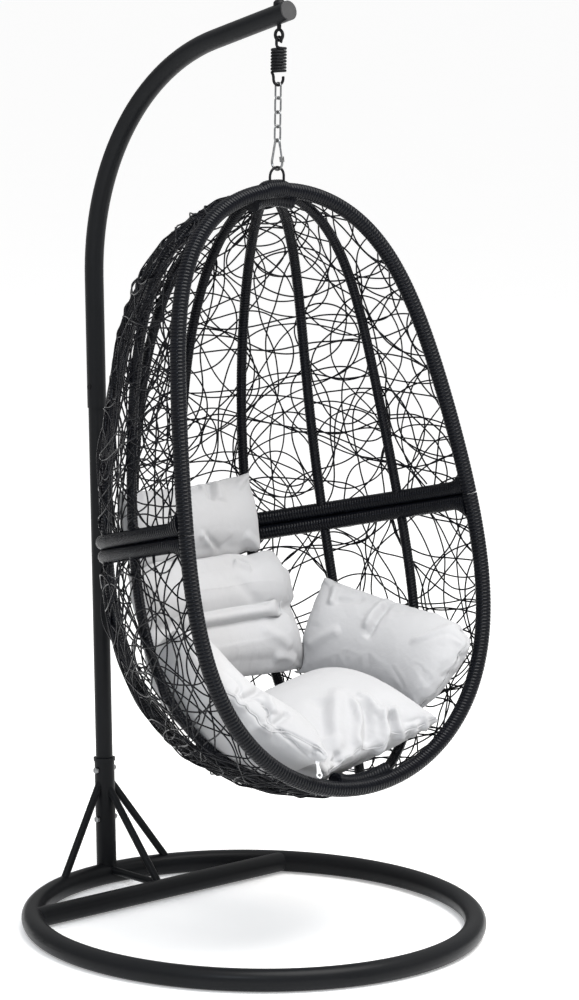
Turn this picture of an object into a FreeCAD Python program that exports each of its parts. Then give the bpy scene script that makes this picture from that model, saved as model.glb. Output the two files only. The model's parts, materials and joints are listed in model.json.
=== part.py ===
import FreeCAD, Part
import math
import os
from FreeCAD import Vector

# Hanging egg chair on a stand with a ring base.
# Millimetres and degrees. The floor is at Z 0, the opening faces -Y and the post stands at +Y.
# The origin is on the floor at the centre of the base ring.

# Base ring, crossbar and braces
ring_radius = 480.0
ring_tube = 48.0
ring_wall = 2.0
rest_flat = 0.5
crossbar_offset = 300.0
crossbar_tube = 44.0
crossbar_wall = 2.0
brace_tube = 17.0
brace_wall = 1.5
brace_spread = 20.0
brace_top_height = 238.0
side_brace_width = 12.0
tie_height = 34.0
weld_gap = 0.1

# Post, bent arm and their fastenings
post_lean = 2.5
post_offset = 483.0
socket_tube = 45.0
socket_bore = 38.4
socket_height = 289.0
collar_tube = 49.0
collar_height = 7.0
pole_tube = 38.0
pole_wall = 2.0
pole_foot = 90.0
pole_overlap = 111.0
arm_tube = 42.0
arm_bore = 38.4
arm_foot = 1079.0
arm_bend_start = 1367.0
arm_bend_radius = 544.0
arm_bend_angle = 75.0
arm_overhang = 26.3
end_cap_thickness = 3.0
end_cap_plug = 12.0
socket_bolt_heights = (150.0, 262.0)
socket_bolt = 8.0
socket_bolt_hole = 8.3
bolt_head_width = 13.0
bolt_head_height = 5.5
bolt_overhang = 4.0
screw_rise = 47.0
screw_shank = 6.0
screw_hole = 6.3
screw_head = 11.0
screw_head_height = 2.0

# Hanger: eye bolt, spring, chain, snap hook and the ring on the basket
hang_y = -36.0
eye_wire = 7.0
eye_inside = 15.0
eye_drop = 21.2
eye_shank = 9.0
eye_shank_hole = 9.4
dome_diameter = 26.0
dome_height = 9.0
dome_skirt_rise = 1.0
seat_gap = 0.3
spring_wire = 6.0
spring_coil_radius = 14.0
spring_turns = 7.5
spring_pitch = 6.6
spring_drop = 27.0
spring_hook_gap = 0.5
spring_hook_height = 14.0
chain_count = 4
chain_wire = 4.0
chain_length = 38.0
chain_width = 20.0
snap_wire = 5.0
snap_length = 68.6
snap_top_radius = 6.5
snap_bottom_radius = 15.5
snap_gate_low = 25.5
snap_gate_high = 48.0
snap_gate_wire = 4.0
snap_eye = 6.0
snap_eye_width = 4.6
snap_pin = 2.0
snap_pin_hole = 2.2
snap_cheek = 1.3
snap_cheek_width = 6.4
loop_wire = 5.5
loop_radius = 20.0
loop_rise = 49.5
loop_notch_turn = 25.0

# Basket: an egg that leans back, measured along its leaning rim
basket_top_back = 7.0
basket_lean = 14.1
basket_length = 1265.0
rim_half_width = 409.0
rim_low_bulge = 0.175
rim_fullness = 0.30
rim_skew = 0.118
rim_bow = 24.0
depth_middle = 555.0
depth_low_bulge = 116.0
depth_fullness = 73.0
rim_tube = 31.0
rim_wall = 3.0
band_tube = 30.0
band_wall = 3.0
band_share = 0.545
rib_tube = 20.0
rib_count = 8
rib_crown_drop = 2.0
band_end_turn = 0.5
crown_plate_radius = 62.0
bottom_plate_radius = 84.0
plate_thickness = 24.0
joint_gap = 0.3
weave_thickness = 3.0
weave_rows = 8
weave_seam = 0.8
weave_sag = 4.2
weave_crown_drop = 9.0
weave_foot_drop = 9.0
weave_band_gap = 3.5
weave_bar = 7.0

# Cushions
cushion_gap = 0.4
cushion_press = 2.0
cushion_edge = 9.0
cushion_pull = 0.09
channel_share = 0.55
seat_place = (160.0, 62.0)
seat_width = 345.0
seat_depth = 400.0
seat_thickness = 190.0
back_place = 114.6
back_standoff = 150.0
back_lean = 21.0
back_width = 430.0
back_height = 280.0
back_thickness = 115.0
back_bend = 8.0
head_place = 92.2
head_standoff = 108.0
head_width = 370.0
head_height = 174.0
head_thickness = 100.0
head_bend = 8.0
right_arm_ends = ((136.5, 1.5), (118.0, 47.0))
right_arm_height = 225.0
right_arm_thickness = 110.0
left_arm_ends = ((115.0, 150.0), (167.0, 162.0))
left_arm_height = 235.0
left_arm_thickness = 165.0


side_way = Vector(1.0, 0.0, 0.0)
up_way = Vector(0.0, 0.0, 1.0)
pole_top = arm_foot + pole_overlap
screw_height = arm_foot + screw_rise


def unit(vector):
    return vector * (1.0 / vector.Length)


def largest_solid(shape):
    return max(shape.Solids, key=lambda solid: solid.Volume)


def fused(shapes):
    whole = shapes[0].fuse(shapes[1:])
    return largest_solid(whole.removeSplitter())


def cylinder(start, end, diameter):
    span = end - start
    return Part.makeCylinder(diameter / 2.0, span.Length, start, span)


def pipe(start, end, outer, inner):
    return cylinder(start, end, outer).cut(cylinder(start, end, inner))


# Paths: pairs of arcs that meet smoothly, through points with known directions

def arc_middle(start, direction, end):
    chord = end - start
    along = unit(chord)
    across = direction - along * direction.dot(along)
    if across.Length < 1e-7:
        return None
    angle = math.atan2(across.Length, direction.dot(along))
    return start + chord * 0.5 + unit(across) * (chord.Length / 2.0 * math.tan(angle / 2.0))


def arc_edge(start, direction, end):
    middle = arc_middle(start, direction, end)
    if middle is None:
        return Part.LineSegment(start, end).toShape()
    return Part.Arc(start, middle, end).toShape()


def arc_edge_to(start, end, direction):
    middle = arc_middle(end, direction * -1.0, start)
    if middle is None:
        return Part.LineSegment(start, end).toShape()
    return Part.Arc(start, middle, end).toShape()


def arc_pair(start, start_way, end, end_way):
    chord = end - start
    ways = start_way + end_way
    square = 2.0 * (1.0 - start_way.dot(end_way))
    lean = chord.dot(ways)
    if square < 1e-9:
        reach = chord.dot(chord) / (2.0 * lean)
    else:
        reach = (math.sqrt(lean * lean + square * chord.dot(chord)) - lean) / square
    meeting = (start + start_way * reach + end - end_way * reach) * 0.5
    return [arc_edge(start, start_way, meeting), arc_edge_to(meeting, end, end_way)]


def smooth_edges(points, ways):
    edges = []
    for i in range(len(points) - 1):
        edges += arc_pair(points[i], ways[i], points[i + 1], ways[i + 1])
    return edges


def followed(curve, values):
    step = (values[-1] - values[0]) * 1e-5
    points = [curve(value) for value in values]
    ways = [unit(curve(value + step) - curve(value - step)) for value in values]
    return points, ways


def spread(first, last, count):
    return [first + (last - first) * i / (count - 1.0) for i in range(count)]


def swept(edges, start, way, diameter):
    profile = Part.Wire([Part.makeCircle(diameter / 2.0, start, way)])
    return largest_solid(Part.Wire(edges).makePipeShell([profile], True, False))


def tube_along(curve, values, diameter):
    points, ways = followed(curve, values)
    return swept(smooth_edges(points, ways), points[0], ways[0], diameter)


# Stand

ring_height = ring_tube / 2.0 - rest_flat
lean_way = Vector(0.0, math.sin(math.radians(post_lean)), math.cos(math.radians(post_lean)))


def post_point(height):
    foot = Vector(0.0, post_offset, 0.0)
    return foot + lean_way * (height / lean_way.z)


def ring_solid(diameter):
    return Part.makeTorus(ring_radius, diameter / 2.0, Vector(0.0, 0.0, ring_height))


def base_ring():
    outer = ring_solid(ring_tube)
    below = Part.makeBox(4.0 * ring_radius, 4.0 * ring_radius, ring_tube)
    below.translate(Vector(-2.0 * ring_radius, -2.0 * ring_radius, -ring_tube))
    return largest_solid(outer.cut(below).cut(ring_solid(ring_tube - 2.0 * ring_wall)))


def crossbar_line(diameter):
    half = ring_radius
    centre = Vector(0.0, crossbar_offset, ring_height)
    return cylinder(centre - Vector(half, 0.0, 0.0), centre + Vector(half, 0.0, 0.0), diameter)


def base_crossbar():
    bar = crossbar_line(crossbar_tube).cut(crossbar_line(crossbar_tube - 2.0 * crossbar_wall))
    room = ring_solid(ring_tube + 2.0 * weld_gap)
    return largest_solid(middle_part(bar.cut(room), Vector(0.0, crossbar_offset, ring_height)))


def middle_part(shape, centre):
    def away(solid):
        return (solid.BoundBox.Center - centre).Length
    return min(shape.Solids, key=away)


def socket_shell(outer, inner):
    return pipe(post_point(ring_height), post_point(socket_height), outer, inner)


def cross_drill(height, diameter):
    centre = post_point(height)
    half = Vector(socket_tube, 0.0, 0.0)
    return cylinder(centre - half, centre + half, diameter)


def post_socket():
    tube = socket_shell(socket_tube, socket_bore)
    collar = pipe(post_point(socket_height - collar_height), post_point(socket_height), collar_tube, socket_bore)
    whole = fused([tube, collar]).cut(ring_solid(ring_tube + 2.0 * weld_gap))
    for height in socket_bolt_heights:
        whole = whole.cut(cross_drill(height, socket_bolt_hole))
    top = post_point(socket_height)
    return max(whole.Solids, key=lambda solid: solid.BoundBox.ZMax - (solid.BoundBox.Center - top).Length * 1e-6)


def lower_pole():
    tube = pipe(post_point(pole_foot), post_point(pole_top), pole_tube, pole_tube - 2.0 * pole_wall)
    for height in socket_bolt_heights:
        tube = tube.cut(cross_drill(height, socket_bolt_hole))
    return largest_solid(tube.cut(cross_drill(screw_height, screw_hole)))


def brace(start, end, rooms):
    tube = pipe(start, end, brace_tube, brace_tube - 2.0 * brace_wall)
    for room in rooms:
        tube = tube.cut(room)
    return middle_part(tube, (start + end) * 0.5)


def socket_room():
    return cylinder(post_point(0.0), post_point(socket_height), socket_tube + 2.0 * weld_gap)


def side_brace(side):
    angle = math.radians(brace_spread)
    foot = Vector(side * ring_radius * math.sin(angle), ring_radius * math.cos(angle), ring_height)
    top = post_point(brace_top_height) + Vector(side * side_brace_width, 0.0, 0.0)
    return brace(foot, top, [socket_room(), ring_solid(ring_tube + 2.0 * weld_gap)])


def front_brace():
    foot = Vector(0.0, crossbar_offset, ring_height)
    return brace(foot, post_point(brace_top_height), [socket_room(), crossbar_line(crossbar_tube + 2.0 * weld_gap)])


def base_tie():
    start = Vector(0.0, crossbar_offset, tie_height)
    end = Vector(0.0, post_offset, tie_height)
    rooms = [socket_room(), crossbar_line(crossbar_tube + 2.0 * weld_gap)]
    rooms += [ring_solid(ring_tube + 2.0 * weld_gap)]
    rooms += [front_brace_room()]
    return brace(start, end, rooms)


def front_brace_room():
    foot = Vector(0.0, crossbar_offset, ring_height)
    return cylinder(foot, post_point(brace_top_height), brace_tube + 2.0 * weld_gap)


def arm_edges():
    start = post_point(arm_foot)
    bend_start = post_point(arm_bend_start)
    angle = math.radians(arm_bend_angle)
    lean = math.radians(post_lean)
    inward = Vector(0.0, -math.cos(lean), math.sin(lean))
    centre = bend_start + inward * arm_bend_radius

    def on_bend(turn):
        return centre - inward * (arm_bend_radius * math.cos(turn)) + lean_way * (arm_bend_radius * math.sin(turn))

    bend_end = on_bend(angle)
    reach_way = lean_way * math.cos(angle) + inward * math.sin(angle)
    tip = bend_end + reach_way * ((hang_y - arm_overhang - bend_end.y) / reach_way.y)
    edges = [Part.LineSegment(start, bend_start).toShape()]
    edges += [Part.Arc(bend_start, on_bend(angle / 2.0), bend_end).toShape()]
    edges += [Part.LineSegment(bend_end, tip).toShape()]
    return edges, start, tip, reach_way


def arm_height_at(y):
    edges, start, tip, reach_way = arm_edges()
    return tip + reach_way * ((y - tip.y) / reach_way.y)


def upper_arm():
    edges, start, tip, reach_way = arm_edges()
    outer = swept(edges, start, lean_way, arm_tube)
    arm = outer.cut(swept(edges, start, lean_way, arm_bore))
    arm = arm.cut(cross_drill(screw_height, screw_hole))
    centre = arm_height_at(hang_y)
    drill = cylinder(centre - Vector(0.0, 0.0, arm_tube), centre + Vector(0.0, 0.0, arm_tube), eye_shank_hole)
    return largest_solid(arm.cut(drill))


def arm_end_cap():
    edges, start, tip, reach_way = arm_edges()
    face = tip + reach_way * weld_gap
    disc = cylinder(face, face + reach_way * end_cap_thickness, arm_tube)
    plug = cylinder(face - reach_way * end_cap_plug, face, arm_bore - 2.0 * weld_gap)
    return fused([disc, plug])


def hexagon(centre, way, across_flats, height):
    radius = across_flats / math.sqrt(3.0)
    side = unit(way.cross(Vector(0.0, 0.6, 1.0)))
    other = unit(way.cross(side))
    corners = []
    for i in range(7):
        angle = math.radians(60.0 * i)
        corners += [centre + side * (radius * math.cos(angle)) + other * (radius * math.sin(angle))]
    return Part.Face(Part.makePolygon(corners)).extrude(unit(way) * height)


def socket_bolt_solid(height):
    centre = post_point(height)
    seat = socket_tube / 2.0 + weld_gap
    end = seat + bolt_head_height + bolt_overhang
    shank = cylinder(centre - Vector(seat, 0.0, 0.0), centre + Vector(end, 0.0, 0.0), socket_bolt)
    head = hexagon(centre - Vector(seat, 0.0, 0.0), Vector(-1.0, 0.0, 0.0), bolt_head_width, bolt_head_height)
    return fused([shank, head])


def socket_nut_solid(height):
    centre = post_point(height) + Vector(socket_tube / 2.0 + weld_gap, 0.0, 0.0)
    nut = hexagon(centre, Vector(1.0, 0.0, 0.0), bolt_head_width, bolt_head_height)
    bore = cylinder(centre, centre + Vector(bolt_head_height, 0.0, 0.0), socket_bolt + 2.0 * weld_gap)
    return largest_solid(nut.cut(bore))


def pole_screw():
    centre = post_point(screw_height)
    seat = arm_tube / 2.0 + weld_gap
    shank = cylinder(centre - Vector(seat, 0.0, 0.0), centre + Vector(seat, 0.0, 0.0), screw_shank)
    head_end = centre - Vector(seat + screw_head_height, 0.0, 0.0)
    head = cylinder(centre - Vector(seat, 0.0, 0.0), head_end, screw_head)
    return fused([shank, head])


# Hanger

hang_axis = Vector(0.0, hang_y, 0.0)
eye_radius = (eye_inside + eye_wire) / 2.0
arm_at_hanger = arm_height_at(hang_y).z
arm_slope = math.radians(90.0 - arm_bend_angle + post_lean)
arm_half_cut = arm_tube / 2.0 / math.cos(arm_slope)
eye_centre_height = arm_at_hanger - arm_half_cut - eye_drop
spring_top = eye_centre_height - spring_drop


def hang_point(height):
    return hang_axis + up_way * height


def eye_bolt():
    eye = Part.makeTorus(eye_radius, eye_wire / 2.0, hang_point(eye_centre_height), Vector(1.0, 0.0, 0.0))
    shank_top = arm_at_hanger + arm_half_cut + dome_height / 2.0
    shank = cylinder(hang_point(eye_centre_height + eye_radius), hang_point(shank_top), eye_shank)
    return fused([eye, shank])


def eye_bolt_dome():
    low = arm_at_hanger + arm_half_cut
    rim = low + dome_skirt_rise
    skirt = cylinder(hang_point(low - arm_tube / 4.0), hang_point(rim), dome_diameter)
    radius = (dome_diameter * dome_diameter / 4.0 + dome_height * dome_height) / (2.0 * dome_height)
    ball = Part.makeSphere(radius, hang_point(rim + dome_height - radius))
    slab = cylinder(hang_point(rim), hang_point(rim + dome_height), dome_diameter)
    whole = fused([skirt, ball.common(slab)])
    centre = arm_height_at(hang_y)
    edges, start, tip, reach_way = arm_edges()
    room = cylinder(centre - reach_way * arm_tube, centre + reach_way * arm_tube, arm_tube + 2.0 * weld_gap)
    bore = cylinder(hang_point(low - arm_tube), hang_point(low + dome_height / 2.0 + weld_gap), eye_shank_hole)
    cut = whole.cut(room).cut(bore)
    return max(cut.Solids, key=lambda solid: solid.BoundBox.ZMax)


spring_hook_radius = eye_wire / 2.0 + spring_hook_gap + spring_wire / 2.0
eye_low = eye_centre_height - eye_radius
spring_bottom = spring_top - spring_turns * spring_pitch
spring_low_centre = spring_bottom - spring_hook_height


def coil_point(turn):
    angle = math.radians(270.0 + 360.0 * turn)
    x = spring_coil_radius * math.cos(angle)
    y = spring_coil_radius * math.sin(angle)
    return hang_point(spring_top - spring_pitch * turn) + Vector(x, y, 0.0)


def hook_point(centre_height, radius, angle):
    turn = math.radians(angle)
    return hang_point(centre_height) + Vector(radius * math.cos(turn), 0.0, radius * math.sin(turn))


def turned_way(angle):
    turn = math.radians(angle)
    return Vector(-math.sin(turn), 0.0, math.cos(turn))


def spring_route():
    points = []
    ways = []
    for angle in (-40.0, 0.0, 90.0, 180.0):
        points += [hook_point(eye_low, spring_hook_radius, angle)]
        ways += [turned_way(angle)]
    points += [hook_point(eye_low, spring_hook_radius, 180.0) - Vector(0.0, 0.0, spring_hook_radius)]
    ways += [Vector(0.0, 0.0, -1.0)]
    turns = int(spring_turns * 4.0)
    coil_points, coil_ways = followed(coil_point, spread(0.0, spring_turns, turns + 1))
    points += coil_points
    ways += coil_ways
    for angle in (180.0, 270.0, 360.0, 375.0):
        points += [hook_point(spring_low_centre, spring_coil_radius, angle)]
        ways += [turned_way(angle)]
    return points, ways


def spring():
    points, ways = spring_route()
    return swept(smooth_edges(points, ways), points[0], ways[0], spring_wire)


def spring_clearance():
    points, ways = spring_route()
    line = Part.Wire(smooth_edges(points, ways))
    dots = line.discretize(Distance=1.0)
    nearest = 1e9
    for i in range(len(dots)):
        for k in range(i + 18, len(dots)):
            nearest = min(nearest, (dots[i] - dots[k]).Length)
    return nearest - spring_wire


chain_step = chain_length - chain_wire - chain_wire - seat_gap
hook_bottom = spring_low_centre - spring_coil_radius
first_link_top = hook_bottom + spring_wire / 2.0 + seat_gap + chain_wire / 2.0


def link_top(number):
    return first_link_top - chain_step * number


def closed_link(top_height, wire, length, width, across):
    straight = length - width
    radius = (width - wire) / 2.0
    high = hang_point(top_height - radius)
    low = high - Vector(0.0, 0.0, straight)
    normal = across.cross(Vector(0.0, 0.0, 1.0))
    ring_high = Part.makeTorus(radius, wire / 2.0, high, normal)
    ring_low = Part.makeTorus(radius, wire / 2.0, low, normal)
    size = 2.0 * length
    upper_half = Part.makeBox(size, size, size, high - Vector(length, length, 0.0))
    lower_half = Part.makeBox(size, size, size, low - Vector(length, length, size))
    sides = [cylinder(low + across * (radius * side), high + across * (radius * side), wire) for side in (-1.0, 1.0)]
    return fused([ring_high.common(upper_half), ring_low.common(lower_half)] + sides)


def chain_link(number):
    across = Vector(0.0, 1.0, 0.0) if number % 2 == 0 else Vector(1.0, 0.0, 0.0)
    return closed_link(link_top(number), chain_wire, chain_length, chain_width, across)


last_link_low = link_top(chain_count - 1) - (chain_length - chain_wire)
snap_top = last_link_low + chain_wire / 2.0 + seat_gap + snap_wire / 2.0
snap_low = snap_top - (snap_length - snap_wire)


def snap_outline():
    # The snap hook is pear-shaped: a small arc at the top, a large one at the bottom, straight sides.
    top = snap_top - snap_top_radius
    low = snap_low + snap_bottom_radius
    slant = math.asin((snap_bottom_radius - snap_top_radius) / (top - low))
    across = Vector(0.0, 1.0, 0.0)
    up = Vector(0.0, 0.0, 1.0)

    def on(centre, radius, angle):
        return hang_point(centre) + across * (radius * math.cos(angle)) + up * (radius * math.sin(angle))

    return top, low, slant, on


def snap_side(height):
    # A point on the straight gate side, at a height above the foot of the snap hook.
    top, low, slant, on = snap_outline()
    high = on(top, snap_top_radius, math.pi - slant)
    foot = on(low, snap_bottom_radius, math.pi - slant)
    way = unit(high - foot)
    return foot + way * ((snap_low + height - foot.z) / way.z), way


def snap_hook():
    top, low, slant, on = snap_outline()
    gate_foot, way = snap_side(snap_gate_low)
    gate_head, way = snap_side(snap_gate_high)
    fork = gate_foot - way * (snap_eye / 2.0 + seat_gap)
    end = gate_head + way * seat_gap
    foot = on(low, snap_bottom_radius, math.pi - slant)
    other_foot = on(low, snap_bottom_radius, slant)
    other_head = on(top, snap_top_radius, slant)
    head = on(top, snap_top_radius, math.pi - slant)
    edges = [Part.LineSegment(fork, foot).toShape()]
    edges += [Part.Arc(foot, on(low, snap_bottom_radius, -math.pi / 2.0), other_foot).toShape()]
    edges += [Part.LineSegment(other_foot, other_head).toShape()]
    edges += [Part.Arc(other_head, on(top, snap_top_radius, math.pi / 2.0), head).toShape()]
    edges += [Part.LineSegment(head, end).toShape()]
    body = swept(edges, fork, way * -1.0, snap_wire)
    inside = snap_eye_width / 2.0 + seat_gap
    outside = inside + snap_cheek
    root = slab_between(fork - way * snap_wire, fork, -outside, outside, snap_cheek_width)
    cheeks = [slab_between(fork - way, gate_foot + way * (snap_eye / 2.0), low_side, high_side, snap_cheek_width)
              for low_side, high_side in ((inside, outside), (-outside, -inside))]
    whole = fused([body, root] + cheeks)
    pin_way = side_way * snap_wire
    return largest_solid(whole.cut(cylinder(gate_foot - pin_way, gate_foot + pin_way, snap_pin_hole)))


def slab_between(start, end, low_side, high_side, width):
    way = unit(end - start)
    across = way.cross(side_way) * (width / 2.0)
    corners = [start - across, start + across, end + across, end - across, start - across]
    face = Part.Face(Part.makePolygon([corner + side_way * low_side for corner in corners]))
    return face.extrude(side_way * (high_side - low_side))


def snap_gate():
    foot, way = snap_side(snap_gate_low)
    head, way = snap_side(snap_gate_high)
    half = side_way * (snap_eye_width / 2.0)
    gate = fused([cylinder(foot, head, snap_gate_wire), cylinder(foot - half, foot + half, snap_eye)])
    return largest_solid(gate.cut(cylinder(foot - half * 2.0, foot + half * 2.0, snap_pin_hole)))


def snap_gate_pin():
    foot, way = snap_side(snap_gate_low)
    half = side_way * (snap_eye_width / 2.0 + seat_gap + snap_cheek)
    return cylinder(foot - half, foot + half, snap_pin)


loop_top = snap_low + snap_wire / 2.0 + seat_gap + loop_wire / 2.0
basket_top = Vector(0.0, hang_y + basket_top_back, loop_top - loop_rise)


def basket_loop():
    centre = loop_top - loop_radius
    start = Vector(-loop_radius, 0.0, 0.0)
    end = Vector(loop_radius, 0.0, 0.0)
    foot = basket_top.z
    edges = [Part.LineSegment(hang_point(foot) + start, hang_point(centre) + start).toShape()]
    edges += [Part.Arc(hang_point(centre) + start, hang_point(loop_top), hang_point(centre) + end).toShape()]
    edges += [Part.LineSegment(hang_point(centre) + end, hang_point(foot) + end).toShape()]
    loop = swept(edges, hang_point(foot) + start, Vector(0.0, 0.0, 1.0), loop_wire)
    cut = loop.cut(rim_line(-loop_notch_turn, loop_notch_turn, 5, rim_tube + 2.0 * weld_gap))
    return max(cut.Solids, key=lambda solid: solid.BoundBox.ZMax)


# Basket frame

lean = math.radians(basket_lean)
back_way = Vector(0.0, math.cos(lean), -math.sin(lean))
down_way = Vector(0.0, -math.sin(lean), -math.cos(lean))
rib_step = 180.0 / (rib_count + 1)


def in_basket(side, back, down):
    return basket_top + side_way * side + back_way * back + down_way * down


def half_width(drop):
    c = math.cos(drop)
    fullness = 1.0 - rim_low_bulge * c + rim_fullness * c * c + rim_skew * c ** 3
    return rim_half_width * math.sin(drop) * fullness


def depth(drop):
    c = math.cos(drop)
    return math.sin(drop) * (depth_middle - depth_low_bulge * c + depth_fullness * c * c)


def down_at(drop):
    return basket_length * (1.0 - math.cos(drop)) / 2.0


def drop_at(down):
    return math.acos(1.0 - 2.0 * down / basket_length)


def rim_back(drop):
    return -rim_bow * math.sin(drop) ** 2


def rim_point(degrees):
    drop = math.radians(degrees)
    return in_basket(half_width(drop), rim_back(drop), down_at(drop))


def rim_line(first, last, count, diameter):
    return tube_along(rim_point, spread(first, last, count), diameter)


def plate_shift(drop):
    return (rim_tube / 2.0 + joint_gap) * (1.0 - abs(math.sin(drop))) ** 2


def shell_point(drop, around):
    side = half_width(drop) * math.cos(around)
    back = rim_back(drop) + plate_shift(drop) + depth(drop) * math.sin(around)
    return in_basket(side, back, down_at(drop))


def shell_normal(drop, around):
    step = 1e-4
    along = shell_point(drop + step, around) - shell_point(drop - step, around)
    across = shell_point(drop, around + step) - shell_point(drop, around - step)
    return unit(along.cross(across))


split_down = basket_length * band_share
split_drop = math.degrees(drop_at(split_down))
split_gap = math.degrees(joint_gap / 2.0 / (basket_length / 2.0))
band_lift = band_tube / 2.0 + joint_gap / 2.0


def upper_rim_tube(diameter):
    return rim_line(-split_drop + split_gap, split_drop - split_gap, 15, diameter)


def lower_rim_tube(diameter):
    return rim_line(split_drop + split_gap, 360.0 - split_drop - split_gap, 15, diameter)


def rim_half(tube):
    return largest_solid(tube(rim_tube).cut(tube(rim_tube - 2.0 * rim_wall)))


def band_curve(down):
    drop = drop_at(split_down)

    def point(degrees):
        around = math.radians(degrees)
        side = half_width(drop) * math.cos(around)
        return in_basket(side, rim_back(drop) + depth(drop) * math.sin(around), down)

    return point


def band_tube_solid(down, diameter):
    return tube_along(band_curve(down), spread(band_end_turn, 180.0 - band_end_turn, 19), diameter)


def band(down, rim_room):
    hollow = band_tube_solid(down, band_tube).cut(band_tube_solid(down, band_tube - 2.0 * band_wall))
    return largest_solid(hollow.cut(rim_room))


def half_disc(down, radius, back):
    centre = in_basket(0.0, back, down) - down_way * (plate_thickness / 2.0)
    disc = Part.makeCylinder(radius, plate_thickness, centre, down_way)
    size = 6.0 * radius
    front = Part.makeBox(size, size, size)
    front.translate(Vector(-size / 2.0, -size, -size / 2.0))
    front.rotate(Vector(0.0, 0.0, 0.0), side_way, -basket_lean)
    front.translate(in_basket(0.0, back, down))
    return largest_solid(disc.cut(front))


def crown_plate():
    return half_disc(0.0, crown_plate_radius, rim_tube / 2.0 + joint_gap)


def bottom_plate():
    return half_disc(basket_length, bottom_plate_radius, rim_tube / 2.0 + joint_gap)


def plate_room(down, radius):
    centre = in_basket(0.0, rim_tube / 2.0 + joint_gap, down) - down_way * (2.0 * plate_thickness)
    return Part.makeCylinder(radius + joint_gap, 4.0 * plate_thickness, centre, down_way)


def rib_line(around, first, last, diameter):
    def curve(degrees):
        return shell_point(math.radians(degrees), around)

    return tube_along(curve, spread(first, last, 11), diameter)


def upper_rib_line(number, diameter):
    last = math.degrees(drop_at(split_down - band_lift))
    return rib_line(math.radians(rib_step * number), rib_crown_drop, last, diameter)


def lower_rib_line(number, diameter):
    first = math.degrees(drop_at(split_down + band_lift))
    return rib_line(math.radians(rib_step * number), first, 180.0 - rib_crown_drop, diameter)


def rib(line, number, rooms):
    solid = line(number, rib_tube)
    for room in rooms:
        solid = largest_solid(solid.cut(room))
    return solid


# Weave: a thin faceted lattice outside the ribs, one panel from rib to rib

def weave_corner(drop, column, side):
    # Inner corner of a panel on the line of a rib, or behind the rim at both ends.
    if column == 0 or column == rib_count + 1:
        way = 1.0 if column == 0 else -1.0
        reach = half_width(drop) + weave_thickness
        behind = rim_back(drop) + rim_tube / 2.0 + 2.0 * joint_gap
        tilt = shell_normal(drop, math.radians(rib_step)).dot(down_way)
        lift = down_way * (tilt * (rib_tube / 2.0 + joint_gap + weave_sag))
        return in_basket(way * reach, behind, down_at(drop)) + lift, unit(side_way * way + down_way * tilt)
    around = math.radians(rib_step * column)
    normal = shell_normal(drop, around)
    out = rib_tube / 2.0 + joint_gap + weave_sag
    shift = unit(shell_point(drop, around + 1e-3) - shell_point(drop, around - 1e-3))
    return shell_point(drop, around) + normal * out + shift * (side * weave_seam / 2.0), normal


def opening_corners(cell):
    # Corners of a cell's opening, one bar in from each side of the cell.
    a, b, c, d = cell
    across = weave_bar / min((b - a).Length, (c - d).Length)
    along = weave_bar / min((d - a).Length, (c - b).Length)
    corners = []
    for u, v in ((across, along), (1.0 - across, along), (1.0 - across, 1.0 - along), (across, 1.0 - along)):
        corners += [(a * (1.0 - u) + b * u) * (1.0 - v) + (d * (1.0 - u) + c * u) * v]
    return corners


def faceted_solid(quads):
    triangles = []
    for a, b, c, d in quads:
        triangles += [(a, b, c), (a, c, d)]
    shell = Part.makeShell([Part.Face(Part.makePolygon([a, b, c, a])) for a, b, c in triangles])
    shell.sewShape()
    solid = Part.makeSolid(shell)
    if solid.Volume < 0.0:
        solid.reverse()
    return solid


def weave_panel(column, drops):
    # Each cell between two drops has one opening, with bars left round it.
    inner = []
    outer = []
    for drop in drops:
        a, a_normal = weave_corner(drop, column, 1.0)
        b, b_normal = weave_corner(drop, column + 1, -1.0)
        inner += [(a, b)]
        outer += [(a + a_normal * weave_thickness, b + b_normal * weave_thickness)]
    quads = [(inner[0][0], outer[0][0], outer[0][1], inner[0][1])]
    quads += [(inner[-1][0], inner[-1][1], outer[-1][1], outer[-1][0])]
    for i in range(len(drops) - 1):
        low = (inner[i][0], inner[i][1], inner[i + 1][1], inner[i + 1][0])
        high = (outer[i][0], outer[i][1], outer[i + 1][1], outer[i + 1][0])
        low_hole = opening_corners(low)
        high_hole = opening_corners(high)
        for k in range(4):
            m = (k + 1) % 4
            quads += [(low[k], low[m], low_hole[m], low_hole[k])]
            quads += [(high[m], high[k], high_hole[k], high_hole[m])]
            quads += [(low_hole[k], low_hole[m], high_hole[m], high_hole[k])]
        quads += [(low[0], low[3], high[3], high[0]), (low[1], high[1], high[2], low[2])]
    return faceted_solid(quads)


def upper_weave_drops():
    first = math.radians(weave_crown_drop)
    last = drop_at(split_down - band_lift - band_tube / 2.0 - weave_band_gap)
    return spread(first, last, weave_rows + 1)


def lower_weave_drops():
    first = drop_at(split_down + band_lift + band_tube / 2.0 + weave_band_gap)
    return spread(first, math.radians(180.0 - weave_foot_drop), weave_rows + 1)


def weave_section(columns, drops):
    return Part.makeCompound([weave_panel(column, drops) for column in columns])


# Cushions: crowned pads, drawn in along their sides

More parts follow.
